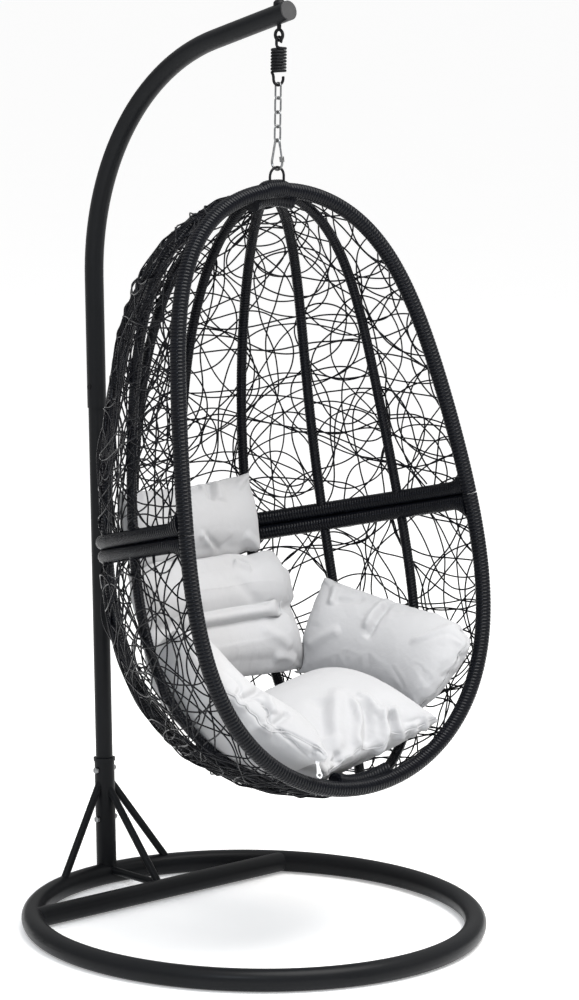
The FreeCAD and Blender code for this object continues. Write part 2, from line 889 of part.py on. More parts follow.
def pad_section(centre, up, out, half_height, half_thick, edge, cells):
    # One crown per cell on each face, with a sewn channel between two cells.
    rows = []
    for i in range(cells + 1):
        level = edge if i in (0, cells) else max(edge, half_thick * channel_share)
        rows += [(up * (half_height * (2.0 * i / cells - 1.0)), level)]
    edges = []
    for face in (1.0, -1.0):
        ordered = rows if face > 0.0 else rows[::-1]
        for (low, low_level), (high, high_level) in zip(ordered[:-1], ordered[1:]):
            start = centre + low + out * (face * low_level)
            end = centre + high + out * (face * high_level)
            crown = centre + (low + high) * 0.5 + out * (face * half_thick)
            edges += [Part.Arc(start, crown, end).toShape()]
        corner = centre + ordered[-1][0] + out * (face * edge)
        edges += [Part.LineSegment(corner, corner - out * (face * 2.0 * edge)).toShape()]
    return Part.Wire(edges)


pad_places = (-1.0, -0.9, -0.62, -0.3, 0.0, 0.3, 0.62, 0.9, 1.0)


def pad_profile(place, height, thickness):
    # Half height and half thickness of a pad at a place from -1 to 1 along it.
    drawn = 1.0 - cushion_pull * (1.0 - place * place)
    thinnest = cushion_edge * 4.0 / 3.0
    swell = math.sqrt(1.0 - place ** 4)
    return height / 2.0 * drawn, thinnest + (thickness / 2.0 - thinnest) * swell


def straight_pad(centre, up, out, width, height, thickness, bend, cells, room):
    side = unit(up.cross(out))
    sections = []
    for place in pad_places:
        half_height, half_thick = pad_profile(place, height, thickness)
        middle = centre + side * ((width / 2.0 + room) * place) + out * (bend * place * place)
        edge = cushion_edge + room
        sections += [pad_section(middle, up, out, half_height + room, half_thick + room, edge, cells)]
    return Part.makeLoft(sections, True, False)


def wall_pad(ends, height, thickness):
    # A pad that follows the shell between two places on it, each a drop and a way around.
    def on_wall(place):
        share = (place + 1.0) / 2.0
        drop = math.radians(ends[0][0] + (ends[1][0] - ends[0][0]) * share)
        around = math.radians(ends[0][1] + (ends[1][1] - ends[0][1]) * share)
        half_height, half_thick = pad_profile(min(1.0, abs(place)), height, thickness)
        inward = shell_normal(drop, around) * -1.0
        lift = rib_tube / 2.0 - cushion_press + (half_thick + thickness / 2.0) / 2.0
        return shell_point(drop, around) + inward * lift, inward

    sections = []
    for place in pad_places:
        centre, inward = on_wall(place)
        way = unit(on_wall(place + 0.05)[0] - on_wall(place - 0.05)[0])
        up = unit(inward.cross(way))
        half_height, half_thick = pad_profile(place, height, thickness)
        out = unit(way.cross(up))
        sections += [pad_section(centre, up, out, half_height, half_thick, cushion_edge, 1)]
    return Part.makeLoft(sections, True, False)


def seat_pad(room):
    drop = math.radians(seat_place[0])
    around = math.radians(seat_place[1])
    inward = shell_normal(drop, around) * -1.0
    centre = shell_point(drop, around) + inward * (rib_tube / 2.0 - cushion_press + seat_thickness / 2.0)
    up = unit(inward.cross(side_way))
    return straight_pad(centre, up, inward, seat_width, seat_depth, seat_thickness, 0.0, 1, room)


def back_pad(room):
    turn = math.radians(back_lean)
    up = Vector(0.0, math.sin(turn), math.cos(turn))
    out = Vector(0.0, -math.cos(turn), math.sin(turn))
    centre = shell_point(math.radians(back_place), math.pi / 2.0) + out * back_standoff
    return straight_pad(centre, up, out, back_width, back_height, back_thickness, back_bend, 2, room)


def head_pad():
    centre = shell_point(math.radians(head_place), math.pi / 2.0) - back_way * head_standoff
    return straight_pad(centre, down_way * -1.0, back_way * -1.0, head_width, head_height, head_thickness,
                        head_bend, 1, 0.0)


def pressed(pad, rooms):
    # A cushion gives way to the ribs and to the cushions that it lies on.
    for room in rooms:
        pad = largest_solid(pad.cut(room))
    return pad


def cushion_nodes():
    seat_room = seat_pad(cushion_gap)
    back_room = back_pad(cushion_gap)
    rim_room = lower_rim_tube(rim_tube + 2.0 * cushion_gap)
    rib_rooms = [lower_rib_line(number + 1, rib_tube + 2.0 * cushion_gap) for number in range(rib_count)]
    half = rib_count // 2
    right_arm = wall_pad(right_arm_ends, right_arm_height, right_arm_thickness)
    left_arm = wall_pad(left_arm_ends, left_arm_height, left_arm_thickness)
    nodes = {}
    nodes["seat_cushion"] = pressed(seat_pad(0.0), [rim_room] + rib_rooms)
    nodes["back_cushion"] = pressed(back_pad(0.0), [seat_room])
    nodes["head_cushion"] = pressed(head_pad(), [back_room])
    nodes["right_arm_cushion"] = pressed(right_arm, [seat_room, back_room, rim_room] + rib_rooms[:half])
    nodes["left_arm_cushion"] = pressed(left_arm, [seat_room, back_room, rim_room] + rib_rooms[half:])
    return nodes


def all_nodes():
    nodes = {}
    nodes["base_ring"] = base_ring()
    nodes["base_crossbar"] = base_crossbar()
    nodes["post_socket"] = post_socket()
    nodes["brace_left"] = side_brace(-1.0)
    nodes["brace_right"] = side_brace(1.0)
    nodes["brace_front"] = front_brace()
    nodes["base_tie"] = base_tie()
    nodes["lower_pole"] = lower_pole()
    nodes["upper_arm"] = upper_arm()
    nodes["arm_end_cap"] = arm_end_cap()
    nodes["socket_bolts"] = Part.makeCompound([socket_bolt_solid(height) for height in socket_bolt_heights])
    nodes["socket_nuts"] = Part.makeCompound([socket_nut_solid(height) for height in socket_bolt_heights])
    nodes["pole_screw"] = pole_screw()
    nodes["eye_bolt"] = eye_bolt()
    nodes["eye_bolt_dome"] = eye_bolt_dome()
    nodes["spring"] = spring()
    for number in range(chain_count):
        nodes["chain_link_%d" % (number + 1)] = chain_link(number)
    nodes["snap_hook"] = snap_hook()
    nodes["snap_gate"] = snap_gate()
    nodes["snap_gate_pin"] = snap_gate_pin()
    nodes["basket_loop"] = basket_loop()
    nodes.update(basket_nodes())
    nodes.update(cushion_nodes())
    return nodes


def basket_nodes():
    nodes = {}
    upper_down = split_down - band_lift
    lower_down = split_down + band_lift
    nodes["upper_rim"] = rim_half(upper_rim_tube)
    nodes["lower_rim"] = rim_half(lower_rim_tube)
    upper_rim_room = upper_rim_tube(rim_tube + 2.0 * joint_gap)
    lower_rim_room = lower_rim_tube(rim_tube + 2.0 * joint_gap)
    nodes["upper_band"] = band(upper_down, upper_rim_room)
    nodes["lower_band"] = band(lower_down, lower_rim_room)
    nodes["crown_plate"] = crown_plate()
    nodes["bottom_plate"] = bottom_plate()
    upper_rooms = [plate_room(0.0, crown_plate_radius)]
    upper_rooms += [band_tube_solid(upper_down, band_tube + 2.0 * joint_gap)]
    lower_rooms = [plate_room(basket_length, bottom_plate_radius)]
    lower_rooms += [band_tube_solid(lower_down, band_tube + 2.0 * joint_gap)]
    for number in range(1, rib_count + 1):
        nodes["upper_rib_%d" % number] = rib(upper_rib_line, number, upper_rooms)
        nodes["lower_rib_%d" % number] = rib(lower_rib_line, number, lower_rooms)
    third = (rib_count + 1) // 3
    for place, name in enumerate(("right", "back", "left")):
        columns = range(place * third, (place + 1) * third)
        nodes["upper_weave_" + name] = weave_section(columns, upper_weave_drops())
        nodes["lower_weave_" + name] = weave_section(columns, lower_weave_drops())
    return nodes


os.makedirs("parts", exist_ok=True)
for name, shape in all_nodes().items():
    shape.exportStep("parts/%s.step" % name)
    print(name, len(shape.Solids), shape.isValid(), round(shape.Volume / 1000.0, 2))
print("spring least gap to itself, mm:", round(spring_clearance(), 2))
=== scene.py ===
import json
import math
import random

import bmesh
import bpy
import numpy as np
from bpy.props import FloatProperty, FloatVectorProperty, IntProperty, PointerProperty
from mathutils import Matrix, Quaternion, Vector, noise
from mathutils.bvhtree import BVHTree


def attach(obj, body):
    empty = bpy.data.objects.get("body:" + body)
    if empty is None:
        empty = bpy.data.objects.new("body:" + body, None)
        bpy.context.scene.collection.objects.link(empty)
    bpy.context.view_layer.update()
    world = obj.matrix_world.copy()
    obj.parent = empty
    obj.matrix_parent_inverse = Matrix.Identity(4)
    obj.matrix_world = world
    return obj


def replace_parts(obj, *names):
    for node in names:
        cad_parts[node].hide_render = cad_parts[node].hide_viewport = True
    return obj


bl_info = {
    "name": "Hanging egg chair",
    "version": (1, 0, 0),
    "blender": (4, 5, 0),
    "location": "3D View > Sidebar > Egg chair",
    "description": "Dresses a hanging egg chair: wound tubes, open weave, cushions and finishes",
    "category": "Object",
}

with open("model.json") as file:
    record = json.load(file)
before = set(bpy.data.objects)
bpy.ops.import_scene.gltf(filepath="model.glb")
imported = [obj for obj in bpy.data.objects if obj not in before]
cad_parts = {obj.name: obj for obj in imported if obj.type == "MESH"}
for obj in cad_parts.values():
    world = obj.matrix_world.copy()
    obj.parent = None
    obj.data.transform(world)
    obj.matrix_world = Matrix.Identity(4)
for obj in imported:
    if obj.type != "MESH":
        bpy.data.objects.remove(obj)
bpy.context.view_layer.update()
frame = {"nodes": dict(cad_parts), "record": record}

SIDE = Vector((1.0, 0.0, 0.0))
UP = Vector((0.0, 0.0, 1.0))
RIB_COUNT = 8
RIB_STEP = math.pi / (RIB_COUNT + 1)

# The photo's camera, as it was found from the base ring, the post and the rims
PHOTO_WIDTH, PHOTO_HEIGHT = 579.0, 1000.0
SENSOR = 36.0
CAMERA_PLACE = Vector((-5.796, -6.087, 2.374))
CAMERA_LOOK = Vector((0.68507, 0.70886, -0.16795)).normalized()
CAMERA_ROLL = 0.01598


# Sizes and colours

class BasketSizes(bpy.types.PropertyGroup):
    """The egg-shaped basket's own shape and the tubes that it is made of"""
    top: FloatVectorProperty(name="Top", description="Centre of the rim tube at the crown",
                             default=(0.0, -0.029, 1.60395), subtype="TRANSLATION")
    lean: FloatProperty(name="Lean", description="How far the basket leans back",
                        default=math.radians(14.1), subtype="ANGLE")
    length: FloatProperty(name="Length", description="Crown to foot along the rim's plane", default=1.265,
                          subtype="DISTANCE")
    half_width: FloatProperty(name="Half width", description="Half the rim's width before its bulges",
                              default=0.409,
                              subtype="DISTANCE")
    low_bulge: FloatProperty(name="Low bulge", description="How much wider the rim is below its middle",
                             default=0.175)
    fullness: FloatProperty(name="Fullness", description="How full the rim's shoulders are", default=0.30)
    skew: FloatProperty(name="Skew", description="How unlike the crown and the foot of the rim are",
                        default=0.118)
    bow: FloatProperty(name="Bow", description="How far the rim's sides come forward", default=0.024,
                       subtype="DISTANCE")
    depth: FloatProperty(name="Depth", description="Depth behind the rim at its middle", default=0.555,
                         subtype="DISTANCE")
    depth_low_bulge: FloatProperty(name="Low depth", description="How much deeper the lower half is",
                                   default=0.116,
                                   subtype="DISTANCE")
    depth_fullness: FloatProperty(name="Depth fullness", description="How full the back's shoulders are",
                                  default=0.073, subtype="DISTANCE")
    band_share: FloatProperty(name="Split", description="Where the two halves meet, as a share of the length",
                              default=0.545, subtype="FACTOR")
    joint_gap: FloatProperty(name="Joint gap", description="Gap between the two halves", default=0.0003,
                             subtype="DISTANCE")
    rim_tube: FloatProperty(name="Rim tube", description="Rim over its winding", default=0.031,
                            subtype="DISTANCE")
    band_tube: FloatProperty(name="Band tube", description="Band over its winding", default=0.030,
                             subtype="DISTANCE")
    rib_tube: FloatProperty(name="Rib tube", description="Rib over its winding", default=0.020,
                            subtype="DISTANCE")


class WickerSizes(bpy.types.PropertyGroup):
    """The strand that is wound round the tubes and woven between them"""
    rim_pitch: FloatProperty(name="Rim pitch", description="From one turn to the next on the rims",
                             default=0.0076,
                             subtype="DISTANCE")
    rib_pitch: FloatProperty(name="Rib pitch", description="From one turn to the next on the ribs",
                             default=0.0066,
                             subtype="DISTANCE")
    turn_height: FloatProperty(name="Turn height", description="How far a turn stands out of its groove",
                               default=0.0013, subtype="DISTANCE")
    strand: FloatProperty(name="Strand", description="Thickness of a woven strand", default=0.0036,
                          subtype="DISTANCE")
    density: FloatProperty(name="Density", description="Metres of strand on each square metre", default=108.0)
    seed: IntProperty(name="Seed", description="Picks another random weave", default=7)
    gloss: FloatProperty(name="Roughness", description="Roughness of the strand's surface", default=0.20,
                         subtype="FACTOR")
    colour: FloatVectorProperty(name="Colour", description="Strand colour", default=(0.0020, 0.0023, 0.0034),
                                subtype="COLOR")


class CushionSizes(bpy.types.PropertyGroup):
    """The loose cushions"""
    colour: FloatVectorProperty(name="Cloth", description="Cloth colour", default=(0.450, 0.451, 0.462),
                                subtype="COLOR")
    seam: FloatProperty(name="Seam", description="Thickness of a seam's welt", default=0.0028,
                        subtype="DISTANCE")
    fineness: FloatProperty(name="Mesh", description="Size of the cloth's mesh", default=0.0062,
                            subtype="DISTANCE")
    depth: FloatProperty(name="Fold depth", description="Deepens or flattens every fold", default=1.4)
    swell: FloatProperty(name="Swell", description="How far the filling may push the cloth out",
                         default=0.020,
                         subtype="DISTANCE")


class StageSizes(bpy.types.PropertyGroup):
    """Floor, light and camera"""
    floor: FloatVectorProperty(name="Floor", description="Floor colour", default=(0.96, 0.96, 0.96),
                               subtype="COLOR")
    sky: FloatProperty(name="Overhead light", description="Strength of the light overhead", default=0.85)
    horizon: FloatProperty(name="Room light", description="Strength of the light all round", default=0.16)
    lens: FloatProperty(name="Lens", description="Focal length in millimetres", default=144.0)


def basket():
    return bpy.context.scene.egg_basket


def wicker():
    return bpy.context.scene.egg_wicker


def cushions():
    return bpy.context.scene.egg_cushions


# The basket's shape: a place on it is a drop from the crown and a way round from the right rim

def in_basket(side, back, down):
    lean = basket().lean
    back_way = Vector((0.0, math.cos(lean), -math.sin(lean)))
    down_way = Vector((0.0, -math.sin(lean), -math.cos(lean)))
    return Vector(basket().top) + SIDE * side + back_way * back + down_way * down


def half_width(drop):
    b, c = basket(), math.cos(drop)
    return b.half_width * math.sin(drop) * (1.0 - b.low_bulge * c + b.fullness * c * c + b.skew * c ** 3)


def depth(drop):
    b, c = basket(), math.cos(drop)
    return math.sin(drop) * (b.depth - b.depth_low_bulge * c + b.depth_fullness * c * c)


def down_at(drop):
    return basket().length * (1.0 - math.cos(drop)) / 2.0


def drop_at(down):
    return math.acos(1.0 - 2.0 * down / basket().length)


def rim_back(drop):
    return -basket().bow * math.sin(drop) ** 2


def rim_point(drop):
    return in_basket(half_width(drop), rim_back(drop), down_at(drop))


def shell_point(drop, around):
    shift = (basket().rim_tube / 2.0 + basket().joint_gap) * (1.0 - abs(math.sin(drop))) ** 2
    side = half_width(drop) * math.cos(around)
    return in_basket(side, rim_back(drop) + shift + depth(drop) * math.sin(around), down_at(drop))


def shell_ways(drop, around):
    step = 1e-3
    along = (shell_point(drop + step, around) - shell_point(drop - step, around)) / (2.0 * step)
    across = (shell_point(drop, around + step) - shell_point(drop, around - step)) / (2.0 * step)
    return along, across, along.cross(across).normalized()


def split_down():
    return basket().length * basket().band_share


def band_lift():
    return basket().band_tube / 2.0 + basket().joint_gap / 2.0


def spread(first, last, count):
    return [first + (last - first) * i / (count - 1.0) for i in range(count)]


# Modelling steps

def clear_selection():
    if bpy.context.object is not None and bpy.context.object.mode != "OBJECT":
        bpy.ops.object.mode_set(mode="OBJECT")
    bpy.ops.object.select_all(action="DESELECT")


def pick(*objects):
    clear_selection()
    for obj in objects:
        obj.select_set(True)
    bpy.context.view_layer.objects.active = objects[0]


def apply_all(obj):
    pick(obj)
    for modifier in list(obj.modifiers):
        bpy.ops.object.modifier_apply(modifier=modifier.name)


def set_place(obj):
    pick(obj)
    bpy.ops.object.transform_apply(location=True, rotation=True, scale=True)


def select_where(obj, test):
    # Selects the vertices for which test is true, in edit mode.
    bpy.ops.object.mode_set(mode="EDIT")
    bpy.ops.mesh.select_mode(type="VERT")
    bpy.ops.mesh.select_all(action="DESELECT")
    made = bmesh.from_edit_mesh(obj.data)
    for vertex in made.verts:
        vertex.select = test(vertex.co)
    made.select_flush(True)
    bmesh.update_edit_mesh(obj.data)


def close_up(obj, merge=1e-5):
    # Merges doubles, fills the open ends and turns every face outwards.
    pick(obj)
    bpy.ops.object.mode_set(mode="EDIT")
    bpy.ops.mesh.select_all(action="SELECT")
    bpy.ops.mesh.remove_doubles(threshold=merge)
    bpy.ops.mesh.fill_holes(sides=0)
    bpy.ops.mesh.select_all(action="SELECT")
    bpy.ops.mesh.normals_make_consistent(inside=False)
    bpy.ops.object.mode_set(mode="OBJECT")


def smooth(obj, angle=math.radians(60.0)):
    pick(obj)
    bpy.ops.object.shade_smooth_by_angle(angle=angle)


def join(name, objects):
    pick(*objects)
    if len(objects) > 1:
        bpy.ops.object.join()
    objects[0].name = name
    return objects[0]


def path_line(points, resolution=4):
    clear_selection()
    bpy.ops.curve.primitive_nurbs_path_add()
    path = bpy.context.object
    spline = path.data.splines[0]
    spline.points.add(len(points) - len(spline.points))
    for point, place in zip(spline.points, points):
        point.co = (*place, 1.0)
    spline.order_u = 4
    spline.use_endpoint_u = True
    spline.resolution_u = resolution
    return path


def cut_end(tube, where, outward):
    # Cuts the winding off square and closes the cut.
    pick(tube)
    bpy.ops.object.mode_set(mode="EDIT")
    bpy.ops.mesh.select_all(action="SELECT")
    bpy.ops.mesh.bisect(plane_co=(where, 0.0, 0.0), plane_no=(outward, 0.0, 0.0), use_fill=True,
                        clear_outer=True)
    bpy.ops.object.mode_set(mode="OBJECT")


def wound_tube(name, points, diameter, pitch, height, steps=12, slant=0.0):
    # A tube wound with flat strand: one crowned turn, repeated as a screw and laid along the path.
    path = path_line(points)
    length = path.data.splines[0].calc_length()
    turns = max(3, round(length / pitch))
    step = length / turns
    spare = 1 + math.ceil(abs(slant) * diameter / step)
    clear_selection()
    bpy.ops.mesh.primitive_circle_add(vertices=8, radius=step / 2.0, rotation=(math.pi / 2.0, 0.0, 0.0))
    tube = bpy.context.object
    tube.name = name
    set_place(tube)
    select_where(tube, lambda place: place.z < -1e-6)
    bpy.ops.mesh.delete(type="VERT")
    select_where(tube, lambda place: place.z > step * 0.2)
    bpy.ops.transform.resize(value=(1.24, 1.0, 1.0))
    bpy.ops.mesh.select_all(action="SELECT")
    bpy.ops.transform.resize(value=(1.0, 1.0, height / (step / 2.0)))
    bpy.ops.transform.translate(value=(step * (0.5 - spare), 0.0, diameter / 2.0 - height))
    bpy.ops.object.mode_set(mode="OBJECT")
    screw = tube.modifiers.new("Winding", "SCREW")
    screw.axis = "X"
    screw.screw_offset = step
    screw.iterations = turns + 2 * spare
    screw.steps = steps
    screw.render_steps = steps
    screw.use_merge_vertices = False
    pick(tube)
    bpy.ops.object.modifier_apply(modifier=screw.name)
    close_up(tube, 2e-5)
    if slant:
        for vertex in tube.data.vertices:
            vertex.co.x += slant * vertex.co.y
    cut_end(tube, length, 1.0)
    cut_end(tube, 0.0, -1.0)
    lay = tube.modifiers.new("Lay", "CURVE")
    lay.object = path
    lay.deform_axis = "POS_X"
    pick(tube)
    bpy.ops.object.modifier_apply(modifier=lay.name)
    bpy.data.objects.remove(path)
    pick(tube)
    bpy.ops.object.mode_set(mode="EDIT")
    bpy.ops.mesh.select_all(action="SELECT")
    bpy.ops.mesh.normals_make_consistent(inside=False)
    bpy.ops.object.mode_set(mode="OBJECT")
    smooth(tube, math.radians(75.0))
    return tube


def round_strand(name, lines, thickness, resolution=1):
    # Round strands along smooth lines, as one mesh.
    clear_selection()
    bpy.ops.curve.primitive_nurbs_path_add()
    curve = bpy.context.object
    curve.name = name
    curve.data.splines.clear()
    for points in lines:
        spline = curve.data.splines.new("NURBS")
        spline.points.add(len(points) - 1)
        for point, place in zip(spline.points, points):
            point.co = (*place, 1.0)
        spline.order_u = 3
        spline.use_endpoint_u = True
        spline.resolution_u = 2
    curve.data.dimensions = "3D"
    curve.data.bevel_depth = thickness / 2.0
    curve.data.bevel_resolution = resolution
    curve.data.use_fill_caps = True
    pick(curve)
    bpy.ops.object.convert(target="MESH")
    made = bpy.context.object
    made.name = name
    smooth(made, math.radians(80.0))
    return made


# Finishes

def new_material(name):
    material = bpy.data.materials.new(name)
    material.use_nodes = True
    tree = material.node_tree
    shader = tree.nodes["Principled BSDF"]
    return material, tree, shader


def add_node(tree, kind, **values):
    node = tree.nodes.new(kind)
    for key, value in values.items():
        if hasattr(node, key):
            setattr(node, key, value)
        else:
            node.inputs[key.replace("_", " ")].default_value = value
    return node


def noise_from(tree, source, scale, detail=4.0, roughness=0.55):
    made = add_node(tree, "ShaderNodeTexNoise", Scale=scale, Detail=detail, Roughness=roughness)
    tree.links.new(source, made.inputs["Vector"])
    return made.outputs["Fac"]


def ramp(tree, source, low, high, first=0.3, last=0.7):
    made = tree.nodes.new("ShaderNodeMapRange")
    made.inputs["From Min"].default_value = first
    made.inputs["From Max"].default_value = last
    made.inputs["To Min"].default_value = low
    made.inputs["To Max"].default_value = high
    tree.links.new(source, made.inputs["Value"])
    return made.outputs["Result"]


def colour_mix(tree, factor, first, second):
    made = tree.nodes.new("ShaderNodeMix")
    made.data_type = "RGBA"
    made.inputs["A"].default_value = (*first, 1.0)
    made.inputs["B"].default_value = (*second, 1.0)
    tree.links.new(factor, made.inputs["Factor"])
    return made.outputs["Result"]


def bump(tree, source, distance, strength, before=None):
    made = tree.nodes.new("ShaderNodeBump")
    made.inputs["Distance"].default_value = distance
    made.inputs["Strength"].default_value = strength
    tree.links.new(source, made.inputs["Height"])
    if before is not None:
        tree.links.new(before, made.inputs["Normal"])
    return made.outputs["Normal"]


def object_places(tree):
    return add_node(tree, "ShaderNodeTexCoord").outputs["Object"]


def strand_finish(name, colour, roughness, worn=0.5):
    # Extruded black strand: deep gloss, faint draw lines and a little dust in the colour.
    material, tree, shader = new_material(name)
    places = object_places(tree)
    cloud = noise_from(tree, places, 9.0)
    fine = noise_from(tree, places, 420.0, 3.0)
    lighter = [min(1.0, c * (1.8 + worn)) for c in colour]
    tree.links.new(colour_mix(tree, ramp(tree, fine, 0.0, 1.0), colour, lighter), shader.inputs["Base Color"])
    tree.links.new(ramp(tree, cloud, roughness * 0.75, roughness * 1.45), shader.inputs["Roughness"])
    tree.links.new(bump(tree, fine, 0.0002, 0.25), shader.inputs["Normal"])
    shader.inputs["Specular IOR Level"].default_value = 0.13
    return material


def paint_finish(name, colour, roughness, grain=900.0):
    # Powder coat: fine orange peel over a satin colour, slightly uneven.
    material, tree, shader = new_material(name)
    places = object_places(tree)
    cloud = noise_from(tree, places, 5.0)
    peel = noise_from(tree, places, grain, 2.0)
    speck = noise_from(tree, places, grain * 1.7, 1.0)
    lighter = [c * 1.28 for c in colour]
    tree.links.new(colour_mix(tree, ramp(tree, cloud, 0.0, 1.0), colour, lighter),
                   shader.inputs["Base Color"])
    tree.links.new(ramp(tree, speck, roughness * 0.86, roughness * 1.16), shader.inputs["Roughness"])
    tree.links.new(bump(tree, peel, 0.00012, 0.30), shader.inputs["Normal"])
    shader.inputs["Specular IOR Level"].default_value = 0.09
    return material


def plated_finish(name, colour, roughness):
    # Zinc plate: cloudy grey metal with fine scratches.
    material, tree, shader = new_material(name)
    places = object_places(tree)
    cloud = noise_from(tree, places, 160.0)
    scratch = noise_from(tree, places, 2600.0, 2.0)
    darker = [c * 0.62 for c in colour]
    tree.links.new(colour_mix(tree, ramp(tree, cloud, 0.0, 1.0), colour, darker), shader.inputs["Base Color"])
    tree.links.new(ramp(tree, cloud, roughness * 0.7, roughness * 1.5), shader.inputs["Roughness"])
    tree.links.new(bump(tree, scratch, 0.00005, 0.25), shader.inputs["Normal"])
    shader.inputs["Metallic"].default_value = 1.0
    return material


def plastic_finish(name, colour, roughness):
    # Moulded plastic with a fine spark-eroded grain.
    material, tree, shader = new_material(name)
    places = object_places(tree)
    grain = noise_from(tree, places, 1400.0, 2.0)
    cloud = noise_from(tree, places, 40.0)
    lighter = [c * 1.35 for c in colour]
    tree.links.new(colour_mix(tree, ramp(tree, cloud, 0.0, 1.0), colour, lighter),
                   shader.inputs["Base Color"])
    tree.links.new(ramp(tree, grain, roughness * 0.9, roughness * 1.1), shader.inputs["Roughness"])
    tree.links.new(bump(tree, grain, 0.0001, 0.4), shader.inputs["Normal"])
    return material


def cloth_finish(name, colour):
    # Plain-woven polyester: crossing threads, a little slub and soft colour clouds.
    material, tree, shader = new_material(name)
    places = object_places(tree)
    threads = None
    for way, turn in (("X", 0.0), ("X", math.pi / 2.0), ("Y", math.pi / 2.0)):
        place = tree.nodes.new("ShaderNodeMapping")
        place.inputs["Rotation"].default_value = (0.35, 0.2, turn)
        tree.links.new(places, place.inputs["Vector"])
        wave = add_node(tree, "ShaderNodeTexWave", Scale=260.0, Distortion=0.7, Detail=1.0)
        wave.bands_direction = way
        wave.wave_profile = "SIN"
        tree.links.new(place.outputs["Vector"], wave.inputs["Vector"])
        if threads is None:
            threads = wave.outputs["Fac"]
        else:
            mixer = tree.nodes.new("ShaderNodeMath")
            mixer.operation = "MULTIPLY"
            tree.links.new(threads, mixer.inputs[0])
            tree.links.new(wave.outputs["Fac"], mixer.inputs[1])
            threads = mixer.outputs["Value"]
    cloud = noise_from(tree, places, 7.0)
    slub = noise_from(tree, places, 240.0, 3.0)
    crease = noise_from(tree, places, 34.0, 4.0, 0.6)
    darker = [c * 0.93 for c in colour]
    base = colour_mix(tree, ramp(tree, cloud, 0.0, 1.0), colour, darker)
    tree.links.new(base, shader.inputs["Base Color"])
    tree.links.new(ramp(tree, slub, 0.82, 0.97), shader.inputs["Roughness"])
    first = bump(tree, threads, 0.0003, 0.30)
    second = bump(tree, slub, 0.0004, 0.22, first)
    tree.links.new(bump(tree, crease, 0.0030, 0.45, second), shader.inputs["Normal"])
    shader.inputs["Sheen Weight"].default_value = 0.18
    shader.inputs["Sheen Roughness"].default_value = 0.5
    shader.inputs["Specular IOR Level"].default_value = 0.22
    return material


finishes = {}


def finish(obj, slot, material=None):
    # Gives a new piece the finish that its slot names, and its body.
    obj.data.materials.clear()
    obj.data.materials.append(finishes[material or slot])
    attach(obj, "basket")
    return obj


# Pieces

class EGGCHAIR_OT_finishes(bpy.types.Operator):
    """Make the finishes and put them on the stand, the hanger and the other bare parts"""
    bl_idname = "egg_chair.finishes"
    bl_label = "Finishes"

    def execute(self, context):
        black = tuple(wicker().colour)
        finishes["stand_paint"] = paint_finish("stand paint", (0.0085, 0.0090, 0.0100), 0.34)
        finishes["black_steel"] = paint_finish("black steel", (0.008, 0.008, 0.009), 0.36)
        finishes["zinc"] = plated_finish("zinc plate", (0.26, 0.265, 0.27), 0.34)
        finishes["cap_plastic"] = plastic_finish("cap plastic", (0.022, 0.022, 0.023), 0.5)
        finishes["wrapped_tube"] = strand_finish("wound strand", black, wicker().gloss)
        finishes["wicker_wrap"] = strand_finish("rib winding", black, wicker().gloss * 1.1)
        finishes["wicker_strand"] = strand_finish("woven strand", black, wicker().gloss * 0.9)
        finishes["cushion_cloth"] = cloth_finish("cushion cloth", tuple(cushions().colour))
        finishes["zip_teeth"] = plastic_finish("zip teeth", (0.80, 0.80, 0.81), 0.45)
        for part in frame["record"]["subparts"]:
            node = frame["nodes"][part["node"]]
            node.data.materials.clear()
            node.data.materials.append(finishes[part["material_slot"]])
            if part["material_slot"] != "cushion_cloth":
                smooth(node, math.radians(35.0))
        return {"FINISHED"}


def widen_ends(tube):
    # Each band flares into the rim in a hollow curve, away from the joint between the halves.
    lean = basket().lean
    down_way = Vector((0.0, -math.sin(lean), -math.cos(lean)))
    corner = rim_point(drop_at(split_down()))
    ends = (corner, Vector((-corner.x, corner.y, corner.z)))
    reach = 0.052
    for vertex in tube.data.vertices:
        down = (vertex.co - Vector(basket().top)).dot(down_way) - split_down()
        flat = [(vertex.co - end) - down_way * (vertex.co - end).dot(down_way) for end in ends]
        near = 1.0 - min(way.length for way in flat) / reach
        if near > 0.0:
            vertex.co += down_way * down * 1.5 * near * near


class EGGCHAIR_OT_rims(bpy.types.Operator):
    """Wind the two halves of the rim and the two bands where the basket comes apart"""
    bl_idname = "egg_chair.rims"
    bl_label = "Rims and bands"

    def execute(self, context):
        b, w = basket(), wicker()
        split = drop_at(split_down())
        gap = math.radians(0.08)
        lines = {
            "upper_rim": spread(-split + gap, split - gap, 81),
            "lower_rim": spread(split + gap, 2.0 * math.pi - split - gap, 81),
        }
        for node, drops in lines.items():
            tube = wound_tube("wound_" + node, [rim_point(drop) for drop in drops], b.rim_tube, w.rim_pitch,
                              w.turn_height, 14)
            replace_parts(finish(tube, "wrapped_tube"), node)
        for node, lift in (("upper_band", -band_lift()), ("lower_band", band_lift())):
            points = []
            for around in spread(math.radians(1.0), math.radians(179.0), 61):
                side = half_width(split) * math.cos(around)
                points.append(in_basket(side, rim_back(split) + depth(split) * math.sin(around),
                                        split_down() + lift))
            tube = wound_tube("wound_" + node, points, b.band_tube, w.rim_pitch * 0.85, w.turn_height * 0.8,
                              12)
            widen_ends(tube)
            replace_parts(finish(tube, "wrapped_tube"), node)
        return {"FINISHED"}


def rib_path(number, half):
    around = RIB_STEP * number
    if half == "upper":
        drops = spread(math.radians(2.0), drop_at(split_down() - band_lift()), 41)
    else:
        drops = spread(drop_at(split_down() + band_lift()), math.radians(178.0), 41)
    return [shell_point(drop, around) for drop in drops]


